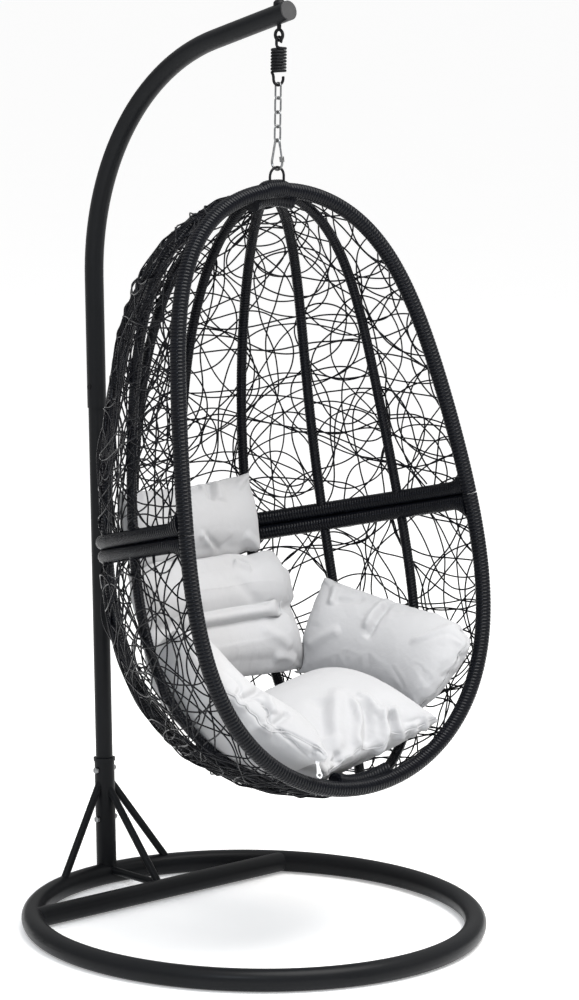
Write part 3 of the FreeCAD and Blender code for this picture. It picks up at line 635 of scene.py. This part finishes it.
class EGGCHAIR_OT_ribs(bpy.types.Operator):
    """Wind the upper and the lower ribs"""
    bl_idname = "egg_chair.ribs"
    bl_label = "Ribs"

    def execute(self, context):
        for half in ("upper", "lower"):
            for number in range(1, RIB_COUNT + 1):
                node = "%s_rib_%d" % (half, number)
                tube = wound_tube("wound_" + node, rib_path(number, half), basket().rib_tube,
                                  wicker().rib_pitch,
                                  wicker().turn_height * 0.75, 10)
                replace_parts(finish(tube, "wicker_wrap"), node)
        return {"FINISHED"}


class EGGCHAIR_OT_hubs(bpy.types.Operator):
    """Wind the crown and the foot, where the ribs meet behind the rim"""
    bl_idname = "egg_chair.hubs"
    bl_label = "Crown and foot"

    def execute(self, context):
        w = wicker()
        for node, down, sign, reach in (("crown_plate", 0.0, 1.0, 0.060), ("bottom_plate", basket().length,
                                                                           -1.0, 0.078)):
            turns = []
            for layer, (back, low, width) in enumerate(((0.022, 0.012, 0.034), (0.046, 0.006, 0.026))):
                points = []
                for share in spread(-1.0, 1.0, 13):
                    side = reach * share * (1.0 - 0.25 * layer)
                    points.append(in_basket(side, back - 0.010 * share * share,
                                            down + sign * (low + 0.012 * share * share)))
                turns.append(wound_tube("hub_%d" % layer, points, width, w.rim_pitch, w.turn_height, 14,
                                        0.55))
            hub = join("wound_" + node, turns)
            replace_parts(finish(hub, "wicker_wrap"), node)
        mound = [in_basket(0.034 * share, 0.0, -0.0035 + 0.002 * share * share) for share in spread(-1.0, 1.0,
                                                                                                    9)]
        sleeve = wound_tube("loop_mound", mound, basket().rim_tube + 0.007, w.rim_pitch * 0.8, w.turn_height,
                            14, 0.3)
        centre = in_basket(0.0, 0.0, -0.0035)
        for vertex in sleeve.data.vertices:
            past = max(0.0, abs(vertex.co.x) / 0.034 - 0.5) / 0.5
            axis = Vector((vertex.co.x, centre.y, centre.z))
            vertex.co = axis + (vertex.co - axis) * (1.0 - 0.20 * past * past)
        finish(sleeve, "wicker_wrap")
        return {"FINISHED"}


# The weave: strands that wander over the shell from edge to edge

def strand_lift(drop, around, loose):
    # A strand lies over the ribs, sinks a little between them and ends inside the tube that it is tied to.
    nearest = abs((around / RIB_STEP) % 1.0 - 0.5) * 2.0
    over = basket().rib_tube / 2.0 + wicker().strand / 2.0
    to_rim = depth(drop) * math.sin(around)
    to_band = abs(down_at(drop) - split_down()) - band_lift()
    near = max(0.0, min(1.0, min(to_rim, to_band) / 0.034))
    return (over * (0.45 + 0.55 * nearest ** 2) + loose) * near * near * (3.0 - 2.0 * near)


def walk(chance, low, high, left, right):
    # One strand that starts at an edge of the field and wanders until it meets an edge again.
    side = chance.random()
    if side < 0.36:
        drop, around, heading = chance.uniform(low, high), left, 0.0
    elif side < 0.72:
        drop, around, heading = chance.uniform(low, high), right, math.pi
    else:
        around = chance.uniform(left, right)
        drop, heading = (low, math.pi / 2.0) if chance.random() < 0.3 else (high, -math.pi / 2.0)
    heading += chance.uniform(-1.2, 1.2)
    along, across, normal = shell_ways(drop, around)
    way = across.normalized() * math.cos(heading) + along.normalized() * math.sin(heading)
    curl = chance.gauss(0.0, 6.0)
    pull = chance.gauss(0.0, 3.5)
    step = 0.011
    loose = chance.uniform(0.0, 0.0045)
    sway = chance.uniform(0.0, 100.0)
    bulge = chance.choice((0.0, 0.004, 0.010, 0.022))
    places = [(drop, around, loose)]
    travelled = 0.0
    while travelled < 3.2:
        along, across, normal = shell_ways(drop, around)
        way = (way - normal * way.dot(normal)).normalized()
        way = Quaternion(normal, curl * step) @ way
        curl += chance.gauss(0.0, 3.0) - (curl - pull) * 0.10
        curl = max(-24.0, min(24.0, curl))
        if chance.random() < 0.04:
            pull = chance.gauss(0.0, 6.0)
        a, c, d = along.dot(along), along.dot(across), across.dot(across)
        p, q = way.dot(along) * step, way.dot(across) * step
        scale = a * d - c * c
        drop += (p * d - q * c) / scale
        around += (q * a - p * c) / scale
        extra = loose + bulge * max(0.0, noise.noise(Vector((travelled * 7.0, sway, 0.0))) - 0.05)
        places.append((drop, around, extra))
        if not (low < drop < high and left < around < right):
            break
        travelled += step
    return places


def cell_of(drop, around):
    place = shell_point(drop, around)
    return tuple(int(math.floor(value / 0.034)) for value in place)


def weave_lines(half, left, right, seed):
    chance = random.Random(seed)
    if half == "upper":
        low, high = math.radians(4.0), drop_at(split_down() - band_lift())
    else:
        low, high = drop_at(split_down() + band_lift()), math.radians(176.0)
    area = 0.0
    for i in range(30):
        for k in range(30):
            along, across, normal = shell_ways(low + (high - low) * (i + 0.5) / 30.0,
                                               left + (right - left) * (k + 0.5) / 30.0)
            area += along.cross(across).length * (high - low) * (right - left) / 900.0
    wanted = area * wicker().density
    filled = {}
    lines = []
    laid = 0.0
    while laid < wanted:
        best = None
        for attempt in range(5):
            places = walk(chance, low, high, left, right)
            if len(places) < 12:
                continue
            crowd = sum(filled.get(cell_of(drop, around), 0) for drop, around, extra in places) / len(places)
            if best is None or crowd < best[0]:
                best = (crowd, places)
        if best is None:
            continue
        for drop, around, extra in best[1]:
            cell = cell_of(drop, around)
            filled[cell] = filled.get(cell, 0) + 1
        line = []
        for drop, around, extra in best[1]:
            normal = shell_ways(drop, around)[2]
            line.append(shell_point(drop, around) + normal * strand_lift(drop, around, extra))
        lines.append(line)
        laid += len(line) * 0.011
    return lines


class EGGCHAIR_OT_weave(bpy.types.Operator):
    """Weave the strands over the ribs, from the rim round the back to the rim"""
    bl_idname = "egg_chair.weave"
    bl_label = "Weave"

    def execute(self, context):
        seed = wicker().seed
        edge = math.radians(0.4)
        thirds = (("right", edge, math.pi / 3.0), ("back", math.pi / 3.0, math.pi * 2.0 / 3.0),
                  ("left", math.pi * 2.0 / 3.0, math.pi - edge))
        for half in ("upper", "lower"):
            lines = weave_lines(half, edge, math.pi - edge, seed)
            seed += 1
            shares = {"right": [], "back": [], "left": []}
            centre = basket().half_width
            for line in lines:
                middle = sum((place for place in line), Vector()) / len(line)
                side = middle.x / centre
                shares["right" if side > 0.55 else "left" if side < -0.55 else "back"].append(line)
            for name, first, last in thirds:
                strands = round_strand("woven_%s_%s" % (half, name), shares[name], wicker().strand)
                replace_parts(finish(strands, "wicker_strand"), "%s_weave_%s" % (half, name))
        return {"FINISHED"}


# Cushions

def cad_copy(node, name):
    source = frame["nodes"][node]
    obj = bpy.data.objects.new(name, source.data.copy())
    bpy.context.scene.collection.objects.link(obj)
    pick(obj)
    bpy.ops.object.mode_set(mode="EDIT")
    bpy.ops.mesh.select_all(action="SELECT")
    bpy.ops.mesh.remove_doubles(threshold=1e-5)
    bpy.ops.mesh.normals_make_consistent(inside=False)
    bpy.ops.object.mode_set(mode="OBJECT")
    return obj


def remeshed(obj, size):
    modifier = obj.modifiers.new("Even mesh", "REMESH")
    modifier.mode = "VOXEL"
    modifier.voxel_size = size
    apply_all(obj)
    relax = obj.modifiers.new("Relax", "SMOOTH")
    relax.factor = 0.5
    relax.iterations = 3
    apply_all(obj)


def inflate(obj, grow, cap, pull):
    # Fills the cushion: cloth with pressure inside, a little larger than its pattern, so that it wrinkles.
    start = [vertex.co.copy() for vertex in obj.data.vertices]
    normals = [vertex.normal.copy() for vertex in obj.data.vertices]
    cloth = obj.modifiers.new("Filling", "CLOTH")
    settings = cloth.settings
    settings.quality = 6
    settings.mass = 0.2
    settings.tension_stiffness = 14.0
    settings.compression_stiffness = 14.0
    settings.shear_stiffness = 5.0
    settings.bending_stiffness = 0.35
    settings.use_pressure = True
    settings.uniform_pressure_force = 4.0
    settings.effector_weights.gravity = 0.0
    settings.shrink_min = -grow
    cloth.point_cache.frame_start = 1
    cloth.point_cache.frame_end = 20
    scene = bpy.context.scene
    for number in range(1, 21):
        scene.frame_set(number)
    apply_all(obj)
    scene.frame_set(1)
    for vertex, home, normal in zip(obj.data.vertices, start, normals):
        move = vertex.co - home
        out = move.dot(normal)
        along = move - normal * out
        vertex.co = home + normal * max(-pull, min(cap, out)) + along * min(1.0, pull / max(along.length,
                                                                                            1e-6))


def read_places(obj, what="co"):
    values = np.empty(len(obj.data.vertices) * 3)
    obj.data.vertices.foreach_get(what, values)
    return values.reshape(-1, 3)


def write_places(obj, places):
    obj.data.vertices.foreach_set("co", places.ravel())
    obj.data.update()


def evened(obj, values, times):
    # Evens out values over the cloth, each spot with the spots beside it.
    ends = np.empty(len(obj.data.edges) * 2, dtype=np.int32)
    obj.data.edges.foreach_get("vertices", ends)
    first, last = ends.reshape(-1, 2).T
    count = len(values)
    beside = 1.0 + np.bincount(first, minlength=count) + np.bincount(last, minlength=count)
    for again in range(times):
        values = np.stack([(column + np.bincount(first, column[last], count)
                            + np.bincount(last, column[first], count)) / beside for column in values.T],
                            axis=1)
    return values


def even_normals(obj, times=30):
    normals = evened(obj, read_places(obj, "normal"), times)
    return normals / np.maximum(np.linalg.norm(normals, axis=1), 1e-9)[:, None]


def through(points, steps=6):
    # A smooth line through a few points.
    ends = [points[0]] + list(points) + [points[-1]]
    line = []
    for a, b, c, d in zip(ends, ends[1:], ends[2:], ends[3:]):
        for i in range(steps):
            t = i / steps
            line.append([0.5 * (2.0 * b[k] + (c[k] - a[k]) * t + (2.0 * a[k] - 5.0 * b[k] + 4.0 * c[k] - d[k]) * t * t
                                + (3.0 * b[k] - a[k] - 3.0 * c[k] + d[k]) * t ** 3) for k in range(3)])
    return line + [list(points[-1])]


def line_distance(places, line):
    # Each place's distance from a line, and how far along the line that is, from 0 to 1.
    nearest = np.full(len(places), 9.0)
    share = np.zeros(len(places))
    count = len(line) - 1
    for i in range(count):
        start = np.array(line[i])
        way = np.array(line[i + 1]) - start
        along = np.clip((places - start) @ way / max(way @ way, 1e-12), 0.0, 1.0)
        gap = np.linalg.norm(places - start - along[:, None] * way, axis=1)
        nearer = gap < nearest
        nearest[nearer] = gap[nearer]
        share[nearer] = (i + along[nearer]) / count
    return nearest, share


def fold(obj, height, width, points, normals):
    # Raises a ridge along a line on the cloth, or presses a valley into it where the height is below zero.
    places = read_places(obj)
    gap, share = line_distance(places, through(points))
    fade = np.minimum(1.0, 4.5 * np.minimum(share, 1.0 - share))
    fade = fade * fade * (3.0 - 2.0 * fade)
    move = height * np.exp(-(gap / width) ** 2) * fade
    write_places(obj, places + normals * move[:, None])


def blunt(obj, way, amount):
    # Rounds off the corner that points most in one direction.
    way = np.array(Vector(way).normalized())
    places = read_places(obj)
    reach = places @ way
    start = reach.max() - 3.0 * amount
    past = np.maximum(0.0, reach - start)
    short = 2.0 * amount * (1.0 - np.exp(-past / (2.0 * amount)))
    write_places(obj, places + way * (short - past)[:, None])


def outline_of(obj, count):
    # The seam runs round a cushion where it is widest, seen through its thickness.
    places = read_places(obj)
    centre = places.mean(axis=0)
    spreads, ways = np.linalg.eigh(np.cov((places - centre).T))
    flat = (places - centre) @ ways[:, 1:]
    turn = np.arctan2(flat[:, 1], flat[:, 0])
    far = np.hypot(flat[:, 0], flat[:, 1])
    cells = np.floor((turn + math.pi) / (2.0 * math.pi) * count).astype(int) % count
    line = []
    for i in range(count):
        inside = np.nonzero(cells == i)[0]
        if len(inside):
            line.append(places[inside[np.argmax(far[inside])]])
    line = np.array(line)
    for again in range(2):
        line = (np.roll(line, 1, axis=0) + 2.0 * line + np.roll(line, -1, axis=0)) / 4.0
    return line


def gather(obj, line, depth, reach):
    # Draws the cloth in along the seam and puckers it beside the stitches.
    closed = np.vstack([line, line[:1]])
    places, normals = read_places(obj), even_normals(obj, 4)
    gap, share = line_distance(places, closed)
    length = np.linalg.norm(np.diff(closed, axis=0), axis=1).sum()
    waves = np.array([noise.noise(Vector((s * length * 34.0, 3.1, 0.0))) for s in share])
    pucker = waves * 0.0042 * np.exp(-gap / reach) * np.minimum(1.0, gap / 0.006)
    move = pucker - depth * np.exp(-(gap / 0.004) ** 2)
    write_places(obj, places + normals * move[:, None])


def ruck(obj, line, height, reach):
    # Soft folds that run in from the corners.
    places, normals = read_places(obj), even_normals(obj, 10)
    centre = line.mean(axis=0)
    far = np.linalg.norm(line - centre, axis=1)
    count = len(line)
    corners = [i for i in range(count) if far[i] == max(far[(i + k) % count] for k in range(-12, 13))]
    for i in corners:
        away = places - line[i]
        gap = np.linalg.norm(away, axis=1)
        inward = (centre - line[i]) / far[i]
        across = np.cross(inward, normals)
        turn = np.arctan2((away * across).sum(axis=1), away @ inward)
        waves = np.array([noise.noise(Vector((a * 3.2, i * 1.7, 0.4))) for a in turn])
        swell = height * waves * np.exp(-gap / reach) * np.minimum(1.0, gap / 0.03)
        places = places + normals * swell[:, None]
    write_places(obj, places)


def skin_of(mesh):
    return BVHTree.FromPolygons([vertex.co.copy() for vertex in mesh.vertices],
                                [face.vertices[:] for face in mesh.polygons])


def keep_in(obj, node, shift, soft):
    # Eases whatever swelled past the cushion's own room back into it.
    room = skin_of(frame["nodes"][node].data)
    ways = even_normals(obj)
    moves = np.zeros((len(ways), 1))
    for vertex in obj.data.vertices:
        way = Vector(ways[vertex.index])
        place, normal, index, far = room.ray_cast(vertex.co + way * 0.024, -way, 0.075)
        if place is not None:
            out = (vertex.co - place).dot(way)
            eased = -soft * math.log1p(math.exp((shift - out) / soft))
            moves[vertex.index] = max(eased, -shift + 0.5 * min(0.0, out)) - out
    write_places(obj, read_places(obj) + ways * evened(obj, moves, 16))
    relax = obj.modifiers.new("Settle", "SMOOTH")
    relax.factor = 0.5
    relax.iterations = 3
    apply_all(obj)


def camera_turn():
    # The photo's camera looks along CAMERA_LOOK and is rolled a little.
    right = CAMERA_LOOK.cross(UP).normalized()
    above = right.cross(CAMERA_LOOK)
    tilted_right = right * math.cos(CAMERA_ROLL) + above * math.sin(CAMERA_ROLL)
    tilted_above = above * math.cos(CAMERA_ROLL) - right * math.sin(CAMERA_ROLL)
    return Matrix((tilted_right, tilted_above, -CAMERA_LOOK)).transposed()


def cast_on(node, view, spots):
    # Where a line that was read in the photo lies on a cushion's solid.
    skin = skin_of(frame["nodes"][node].data)
    left, top, zoom = view
    pixel = SENSOR / PHOTO_HEIGHT
    line = []
    for spot in spots:
        if len(spot) == 3:
            line.append(Vector(spot))
            continue
        across, down = spot
        side = (left + across / zoom - PHOTO_WIDTH / 2.0) * pixel
        up = (PHOTO_HEIGHT / 2.0 - top - down / zoom) * pixel
        way = (camera_turn() @ Vector((side, up, -bpy.context.scene.egg_stage.lens))).normalized()
        place = skin.ray_cast(CAMERA_PLACE, way)[0]
        if place is None:
            # It passes the solid's edge, so it takes the nearest place beside the line of sight.
            place = min((skin.find_nearest(CAMERA_PLACE + way * (7.0 + 0.01 * i)) for i in range(400)),
                        key=lambda found: found[3])[0]
        line.append(place)
    return line


def sewn_on(obj, points):
    # Lays a line on the cloth.
    cloth = skin_of(obj.data)
    line = []
    for point in points:
        place, normal, index, far = cloth.find_nearest(Vector(point))
        line.append(place + normal * 0.0002)
    return line


# Two enlarged pieces of the photo in which the cloth's lines were read: left edge, top edge and zoom.
# A spot in a line is across and down in its view. A spot of three numbers is a place in the basket, given directly.
low_view = (220.0, 560.0, 6.272)
high_view = (110.0, 455.0, 7.125)

left_seam = ((0, 690), (60, 718), (118, 765), (132, 800), (112, 842), (150, 868), (205, 860), (262, 890),
             (298, 945),
             (310, 1008), (345, 1032), (405, 1092), (480, 1168), (560, 1238), (610, 1268))
zip_start = 7
front_gather = (742, 1285)

# Folds and creases, each a height, a width, the view it was read in and its line
folds = {
    "seat_cushion": (
        (0.010, 0.011, low_view, ((800, 840), (860, 940), (872, 1030), (862, 1130), (0.020, -0.285, 0.425))),
        (-0.011, 0.013, low_view, ((880, 880), (925, 980), (935, 1080), (0.040, -0.290, 0.440))),
        (0.011, 0.010, low_view, ((1045, 910), (1022, 975), (1040, 1080), (985, 1190), (0.085, -0.270,
                                                                                        0.410))),
        (-0.009, 0.010, low_view, ((1062, 940), (1075, 1020), (1085, 1100), (1060, 1160))),
        (0.008, 0.010, low_view, ((1065, 905), (1105, 975), (1130, 1060), (0.150, -0.290, 0.442))),
        (0.007, 0.009, low_view, ((1275, 965), (1290, 1030), (1280, 1085))),
        (0.006, 0.009, low_view, ((1215, 1010), (1225, 1060), (0.190, -0.280, 0.443))),
        (0.009, 0.018, low_view, ((745, 790), (722, 930), (722, 1080), (738, 1230))),
        (-0.008, 0.022, low_view, ((640, 860), (650, 1000), (690, 1130))),
        (0.006, 0.010, low_view, ((850, 845), (925, 865), (975, 925), (1000, 975))),
        (-0.003, 0.0045, low_view, ((1140, 1022), (1230, 1000), (1300, 968), (1365, 935))),
        (-0.006, 0.007, low_view, (front_gather, (705, 1238))),
        (0.006, 0.007, low_view, ((-0.040, -0.305, 0.428), (785, 1240), (850, 1222))),
        (-0.006, 0.007, low_view, (front_gather, (730, 1200))),
    ),
    "left_arm_cushion": (
        (-0.005, 0.0045, low_view, left_seam),
        (-0.008, 0.008, low_view, ((275, 762), (232, 818), (180, 846), (135, 848))),
        (-0.007, 0.008, low_view, ((435, 952), (385, 992), (335, 1030))),
        (0.009, 0.010, low_view, ((105, 838), (96, 880), (130, 918), (182, 905))),
        (0.007, 0.009, low_view, ((292, 1020), (290, 1068), (335, 1082))),
        (0.007, 0.010, low_view, ((-0.190, -0.225, 0.580), (-0.205, -0.255, 0.566), (-0.212, -0.275, 0.550))),
        (-0.005, 0.006, low_view, ((560, 1232), (622, 1168))),
        (0.004, 0.009, low_view, ((180, 1100), (210, 1060), (270, 1035))),
    ),
    "right_arm_cushion": (
        (-0.007, 0.008, low_view, ((1070, 262), (1010, 332), (950, 432), (908, 492))),
        (0.006, 0.010, low_view, ((0.310, -0.070, 0.696), (0.278, -0.072, 0.672), (0.246, -0.074, 0.640))),
        (0.006, 0.009, low_view, ((742, 150), (715, 215), (692, 288))),
        (-0.004, 0.010, low_view, ((690, 262), (800, 250), (915, 242))),
        (0.004, 0.009, low_view, ((1180, 525), (1310, 475), (1400, 430), (1480, 385))),
        (-0.006, 0.006, low_view, ((1565, 600), (1505, 605))),
        (-0.005, 0.006, low_view, ((1560, 655), (1512, 600))),
        (-0.004, 0.007, low_view, ((1510, 722), (1440, 722), (1385, 745))),
        (0.004, 0.012, low_view, ((540, 560), (640, 480), (760, 430))),
    ),
    "back_cushion": (
        (-0.003, 0.005, low_view, ((-0.200, 0.104, 0.668), (0.000, 0.106, 0.668), (0.210, 0.104, 0.668))),
        (0.006, 0.012, low_view, ((470, 640), (410, 610), (330, 615))),
        (0.012, 0.022, low_view, ((-0.180, 0.175, 0.785), (-0.060, 0.170, 0.785), (0.130, 0.166, 0.784))),
        (0.007, 0.022, low_view, ((-0.130, 0.078, 0.540), (0.020, 0.075, 0.540), (0.100, 0.072, 0.540),
                                  (0.200, 0.070, 0.545))),
        (-0.006, 0.008, high_view, ((850, 742), (910, 752), (1000, 782))),
        (0.007, 0.011, high_view, ((870, 770), (930, 785), (1010, 800))),
        (0.006, 0.012, low_view, ((400, 40), (440, 150), (462, 270))),
        (-0.004, 0.016, low_view, ((60, 90), (180, 200), (260, 300))),
        (0.004, 0.014, low_view, ((450, 560), (370, 480), (240, 430))),
    ),
    "head_cushion": (
        (0.010, 0.020, low_view, ((-0.170, 0.195, 0.790), (-0.060, 0.195, 0.786), (0.060, 0.200, 0.786),
                                  (0.150, 0.195, 0.787))),
        (-0.006, 0.009, high_view, ((695, 180), (715, 240), (722, 330))),
        (0.005, 0.012, low_view, ((0.090, 0.235, 0.940), (0.072, 0.208, 0.926), (0.060, 0.192, 0.905))),
        (-0.006, 0.009, high_view, ((545, 195), (600, 215), (655, 212))),
        (0.005, 0.008, high_view, ((630, 545), (700, 620), (765, 712))),
        (-0.006, 0.008, high_view, ((665, 560), (740, 640), (775, 700))),
        (0.005, 0.010, high_view, ((950, 560), (1020, 620), (1062, 672))),
        (0.005, 0.010, high_view, ((890, 250), (950, 170), (1000, 105))),
        (-0.006, 0.009, high_view, ((190, 230), (205, 300), (200, 350))),
        (0.005, 0.012, high_view, ((300, 480), (340, 500), (400, 470))),
    ),
}

# The corners that lie rounded off, each a direction and how much is rounded
blunted = {
    "right_arm_cushion": (((0.35, -1.0, 0.75), 0.030), ((0.1, -1.0, -0.7), 0.024)),
    "back_cushion": (((1.0, 0.0, 0.8), 0.012),),
    "left_arm_cushion": (((-0.2, 0.6, 1.0), 0.020),),
}


def made_cushion(node, grow):
    obj = cad_copy(node, "sewn_" + node)
    remeshed(obj, cushions().fineness)
    for way, amount in blunted.get(node, ()):
        blunt(obj, way, amount)
    inflate(obj, grow, cushions().swell, 0.001)
    level = obj.modifiers.new("Fine", "SUBSURF")
    level.levels = 1
    level.render_levels = 1
    apply_all(obj)
    keep_in(obj, node, 0.0015, 0.002)
    normals = even_normals(obj)
    for height, width, view, spots in folds[node]:
        fold(obj, height * cushions().depth, width, cast_on(node, view, spots), normals)
    edge = outline_of(obj, 150)
    gather(obj, edge, 0.0030, 0.030)
    ruck(obj, edge, 0.0055, 0.075)
    pick(obj)
    bpy.ops.object.shade_smooth()
    welt = sewn_on(obj, edge)
    seam = round_strand("welt_" + node, [welt + welt[:1]], cushions().seam)
    finish(seam, "cushion_cloth")
    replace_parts(finish(obj, "cushion_cloth"), node)
    return obj


def zip_pull(seam_end, hang_to):
    # The slider at the end of the zip, and the tag that hangs from it.
    start, end = Vector(seam_end), Vector(hang_to)
    way = (end - start).normalized()
    clear_selection()
    bpy.ops.mesh.primitive_cube_add(size=1.0)
    tag = bpy.context.object
    tag.scale = (0.0062, 0.0022, (end - start).length)
    set_place(tag)
    bpy.ops.object.mode_set(mode="EDIT")
    bpy.ops.mesh.select_all(action="SELECT")
    bpy.ops.mesh.subdivide(number_cuts=4)
    bpy.ops.object.mode_set(mode="OBJECT")
    for vertex in tag.data.vertices:
        vertex.co.x *= 0.7 + 0.9 * (0.5 - vertex.co.z / (end - start).length)
    soften = tag.modifiers.new("Edges", "BEVEL")
    soften.width = 0.0006
    soften.segments = 2
    apply_all(tag)
    clear_selection()
    bpy.ops.mesh.primitive_torus_add(major_radius=0.0052, minor_radius=0.0016, major_segments=20,
                                     minor_segments=8,
                                     rotation=(math.pi / 2.0, 0.0, 0.0),
                                     location=(0.0, 0.0, -(end - start).length / 2.0 - 0.004))
    ring = bpy.context.object
    set_place(ring)
    clear_selection()
    bpy.ops.mesh.primitive_uv_sphere_add(segments=16, ring_count=8, radius=0.0055,
                                         location=(0.0, 0.0, (end - start).length / 2.0))
    slider = bpy.context.object
    slider.scale = (0.9, 0.5, 1.3)
    set_place(slider)
    pull = join("zip_pull", [tag, ring, slider])
    pull.rotation_mode = "QUATERNION"
    pull.rotation_quaternion = way.to_track_quat("-Z", "Y")
    pull.location = (start + end) / 2.0
    set_place(pull)
    smooth(pull, math.radians(40.0))
    return finish(pull, "cushion_cloth", "zip_teeth")


class EGGCHAIR_OT_cushions(bpy.types.Operator):
    """Fill and sew the seat, back, head and arm cushions"""
    bl_idname = "egg_chair.cushions"
    bl_label = "Cushions"

    def execute(self, context):
        for node, grow in (("seat_cushion", 0.04), ("back_cushion", 0.03), ("head_cushion", 0.05),
                           ("right_arm_cushion", 0.04), ("left_arm_cushion", 0.04)):
            made = made_cushion(node, grow)
        zip_places = cast_on("left_arm_cushion", low_view, left_seam[zip_start:])
        zip_line = sewn_on(made, through(zip_places))
        finish(round_strand("zip_line", [zip_line], 0.0018), "cushion_cloth")
        zip_pull(zip_line[-1], zip_line[-1] + Vector((-0.004, -0.010, -0.022)))
        return {"FINISHED"}


# Stage

def area_light(name, place, target, size, power, colour):
    clear_selection()
    bpy.ops.object.light_add(type="AREA", location=place)
    light = bpy.context.object
    light.name = name
    light.data.shape = "DISK"
    light.data.size = size
    light.data.energy = power
    light.data.color = colour
    light.rotation_mode = "QUATERNION"
    light.rotation_quaternion = (Vector(target) - Vector(place)).to_track_quat("-Z", "Y")
    light.visible_camera = False
    return light


def soft_room(sky, horizon):
    # A large soft light overhead and a dimmer room all round.
    world = bpy.data.worlds.new("soft room")
    world.use_nodes = True
    tree = world.node_tree
    places = add_node(tree, "ShaderNodeTexCoord").outputs["Generated"]
    split = tree.nodes.new("ShaderNodeSeparateXYZ")
    tree.links.new(places, split.inputs["Vector"])
    strength = ramp(tree, split.outputs["Z"], horizon, sky, 0.05, 0.75)
    tree.nodes["Background"].inputs["Color"].default_value = (1.0, 1.0, 1.0, 1.0)
    tree.links.new(strength, tree.nodes["Background"].inputs["Strength"])
    return world


class EGGCHAIR_OT_stage(bpy.types.Operator):
    """Lay the pale floor, hang the soft lights and set the camera"""
    bl_idname = "egg_chair.stage"
    bl_label = "Stage"

    def execute(self, context):
        stage = context.scene.egg_stage
        clear_selection()
        bpy.ops.mesh.primitive_plane_add(size=400.0, location=(0.0, 0.0, -0.0005))
        floor = bpy.context.object
        floor.name = "pale_floor"
        material, tree, shader = new_material("pale floor")
        places = object_places(tree)
        soft = noise_from(tree, places, 2.0)
        pale = tuple(stage.floor)
        tree.links.new(colour_mix(tree, soft, pale, tuple(c * 0.985 for c in pale)),
                       shader.inputs["Base Color"])
        shader.inputs["Roughness"].default_value = 0.9
        shader.inputs["Specular IOR Level"].default_value = 0.1
        shader.inputs["Emission Color"].default_value = (1.0, 1.0, 1.0, 1.0)
        shader.inputs["Emission Strength"].default_value = 0.30
        floor.data.materials.append(material)
        context.scene.world = soft_room(stage.sky, stage.horizon)
        context.scene.view_settings.view_transform = "Standard"
        context.scene.view_settings.look = "None"
        area_light("overhead_box", (0.4, -1.6, 4.6), (0.0, 0.0, 0.8), 3.6, 260.0, (1.0, 0.99, 0.97))
        area_light("left_window", (-4.0, -2.8, 3.8), (0.0, 0.0, 1.0), 0.7, 70.0, (0.80, 0.89, 1.0))
        area_light("right_fill", (3.4, -4.4, 2.6), (0.0, 0.0, 0.9), 2.0, 12.0, (1.0, 0.97, 0.92))
        area_light("mouth_fill", (-0.22, -0.55, 0.95), (0.0, 0.1, 1.0), 0.10, 0.5, (1.0, 0.93, 0.82))
        clear_selection()
        bpy.ops.object.camera_add(location=CAMERA_PLACE)
        camera = bpy.context.object
        camera.name = "photo_camera"
        camera.rotation_mode = "QUATERNION"
        camera.rotation_quaternion = camera_turn().to_quaternion()
        camera.data.lens = stage.lens
        camera.data.sensor_width = SENSOR
        camera.data.sensor_fit = "AUTO"
        camera.data.clip_end = 200.0
        context.scene.camera = camera
        return {"FINISHED"}


class EGGCHAIR_PT_panel(bpy.types.Panel):
    """The chair's pieces and sizes"""
    bl_label = "Hanging egg chair"
    bl_idname = "EGGCHAIR_PT_panel"
    bl_space_type = "VIEW_3D"
    bl_region_type = "UI"
    bl_category = "Egg chair"

    def draw(self, context):
        for operator in operators:
            self.layout.operator(operator.bl_idname)
        for group in (context.scene.egg_basket, context.scene.egg_wicker, context.scene.egg_cushions,
                      context.scene.egg_stage):
            for name in group.__annotations__:
                self.layout.prop(group, name)


operators = (EGGCHAIR_OT_finishes, EGGCHAIR_OT_rims, EGGCHAIR_OT_ribs, EGGCHAIR_OT_hubs, EGGCHAIR_OT_weave,
             EGGCHAIR_OT_cushions, EGGCHAIR_OT_stage)
classes = (BasketSizes, WickerSizes, CushionSizes, StageSizes) + operators + (EGGCHAIR_PT_panel,)


def register():
    for made in classes:
        bpy.utils.register_class(made)
    bpy.types.Scene.egg_basket = PointerProperty(type=BasketSizes)
    bpy.types.Scene.egg_wicker = PointerProperty(type=WickerSizes)
    bpy.types.Scene.egg_cushions = PointerProperty(type=CushionSizes)
    bpy.types.Scene.egg_stage = PointerProperty(type=StageSizes)


def unregister():
    for name in ("egg_basket", "egg_wicker", "egg_cushions", "egg_stage"):
        delattr(bpy.types.Scene, name)
    for made in reversed(classes):
        bpy.utils.unregister_class(made)


def main():
    register()
    bpy.ops.egg_chair.finishes()
    bpy.ops.egg_chair.rims()
    bpy.ops.egg_chair.ribs()
    bpy.ops.egg_chair.hubs()
    bpy.ops.egg_chair.weave()
    bpy.ops.egg_chair.cushions()
    bpy.ops.egg_chair.stage()


if __name__ == "__main__":
    main()
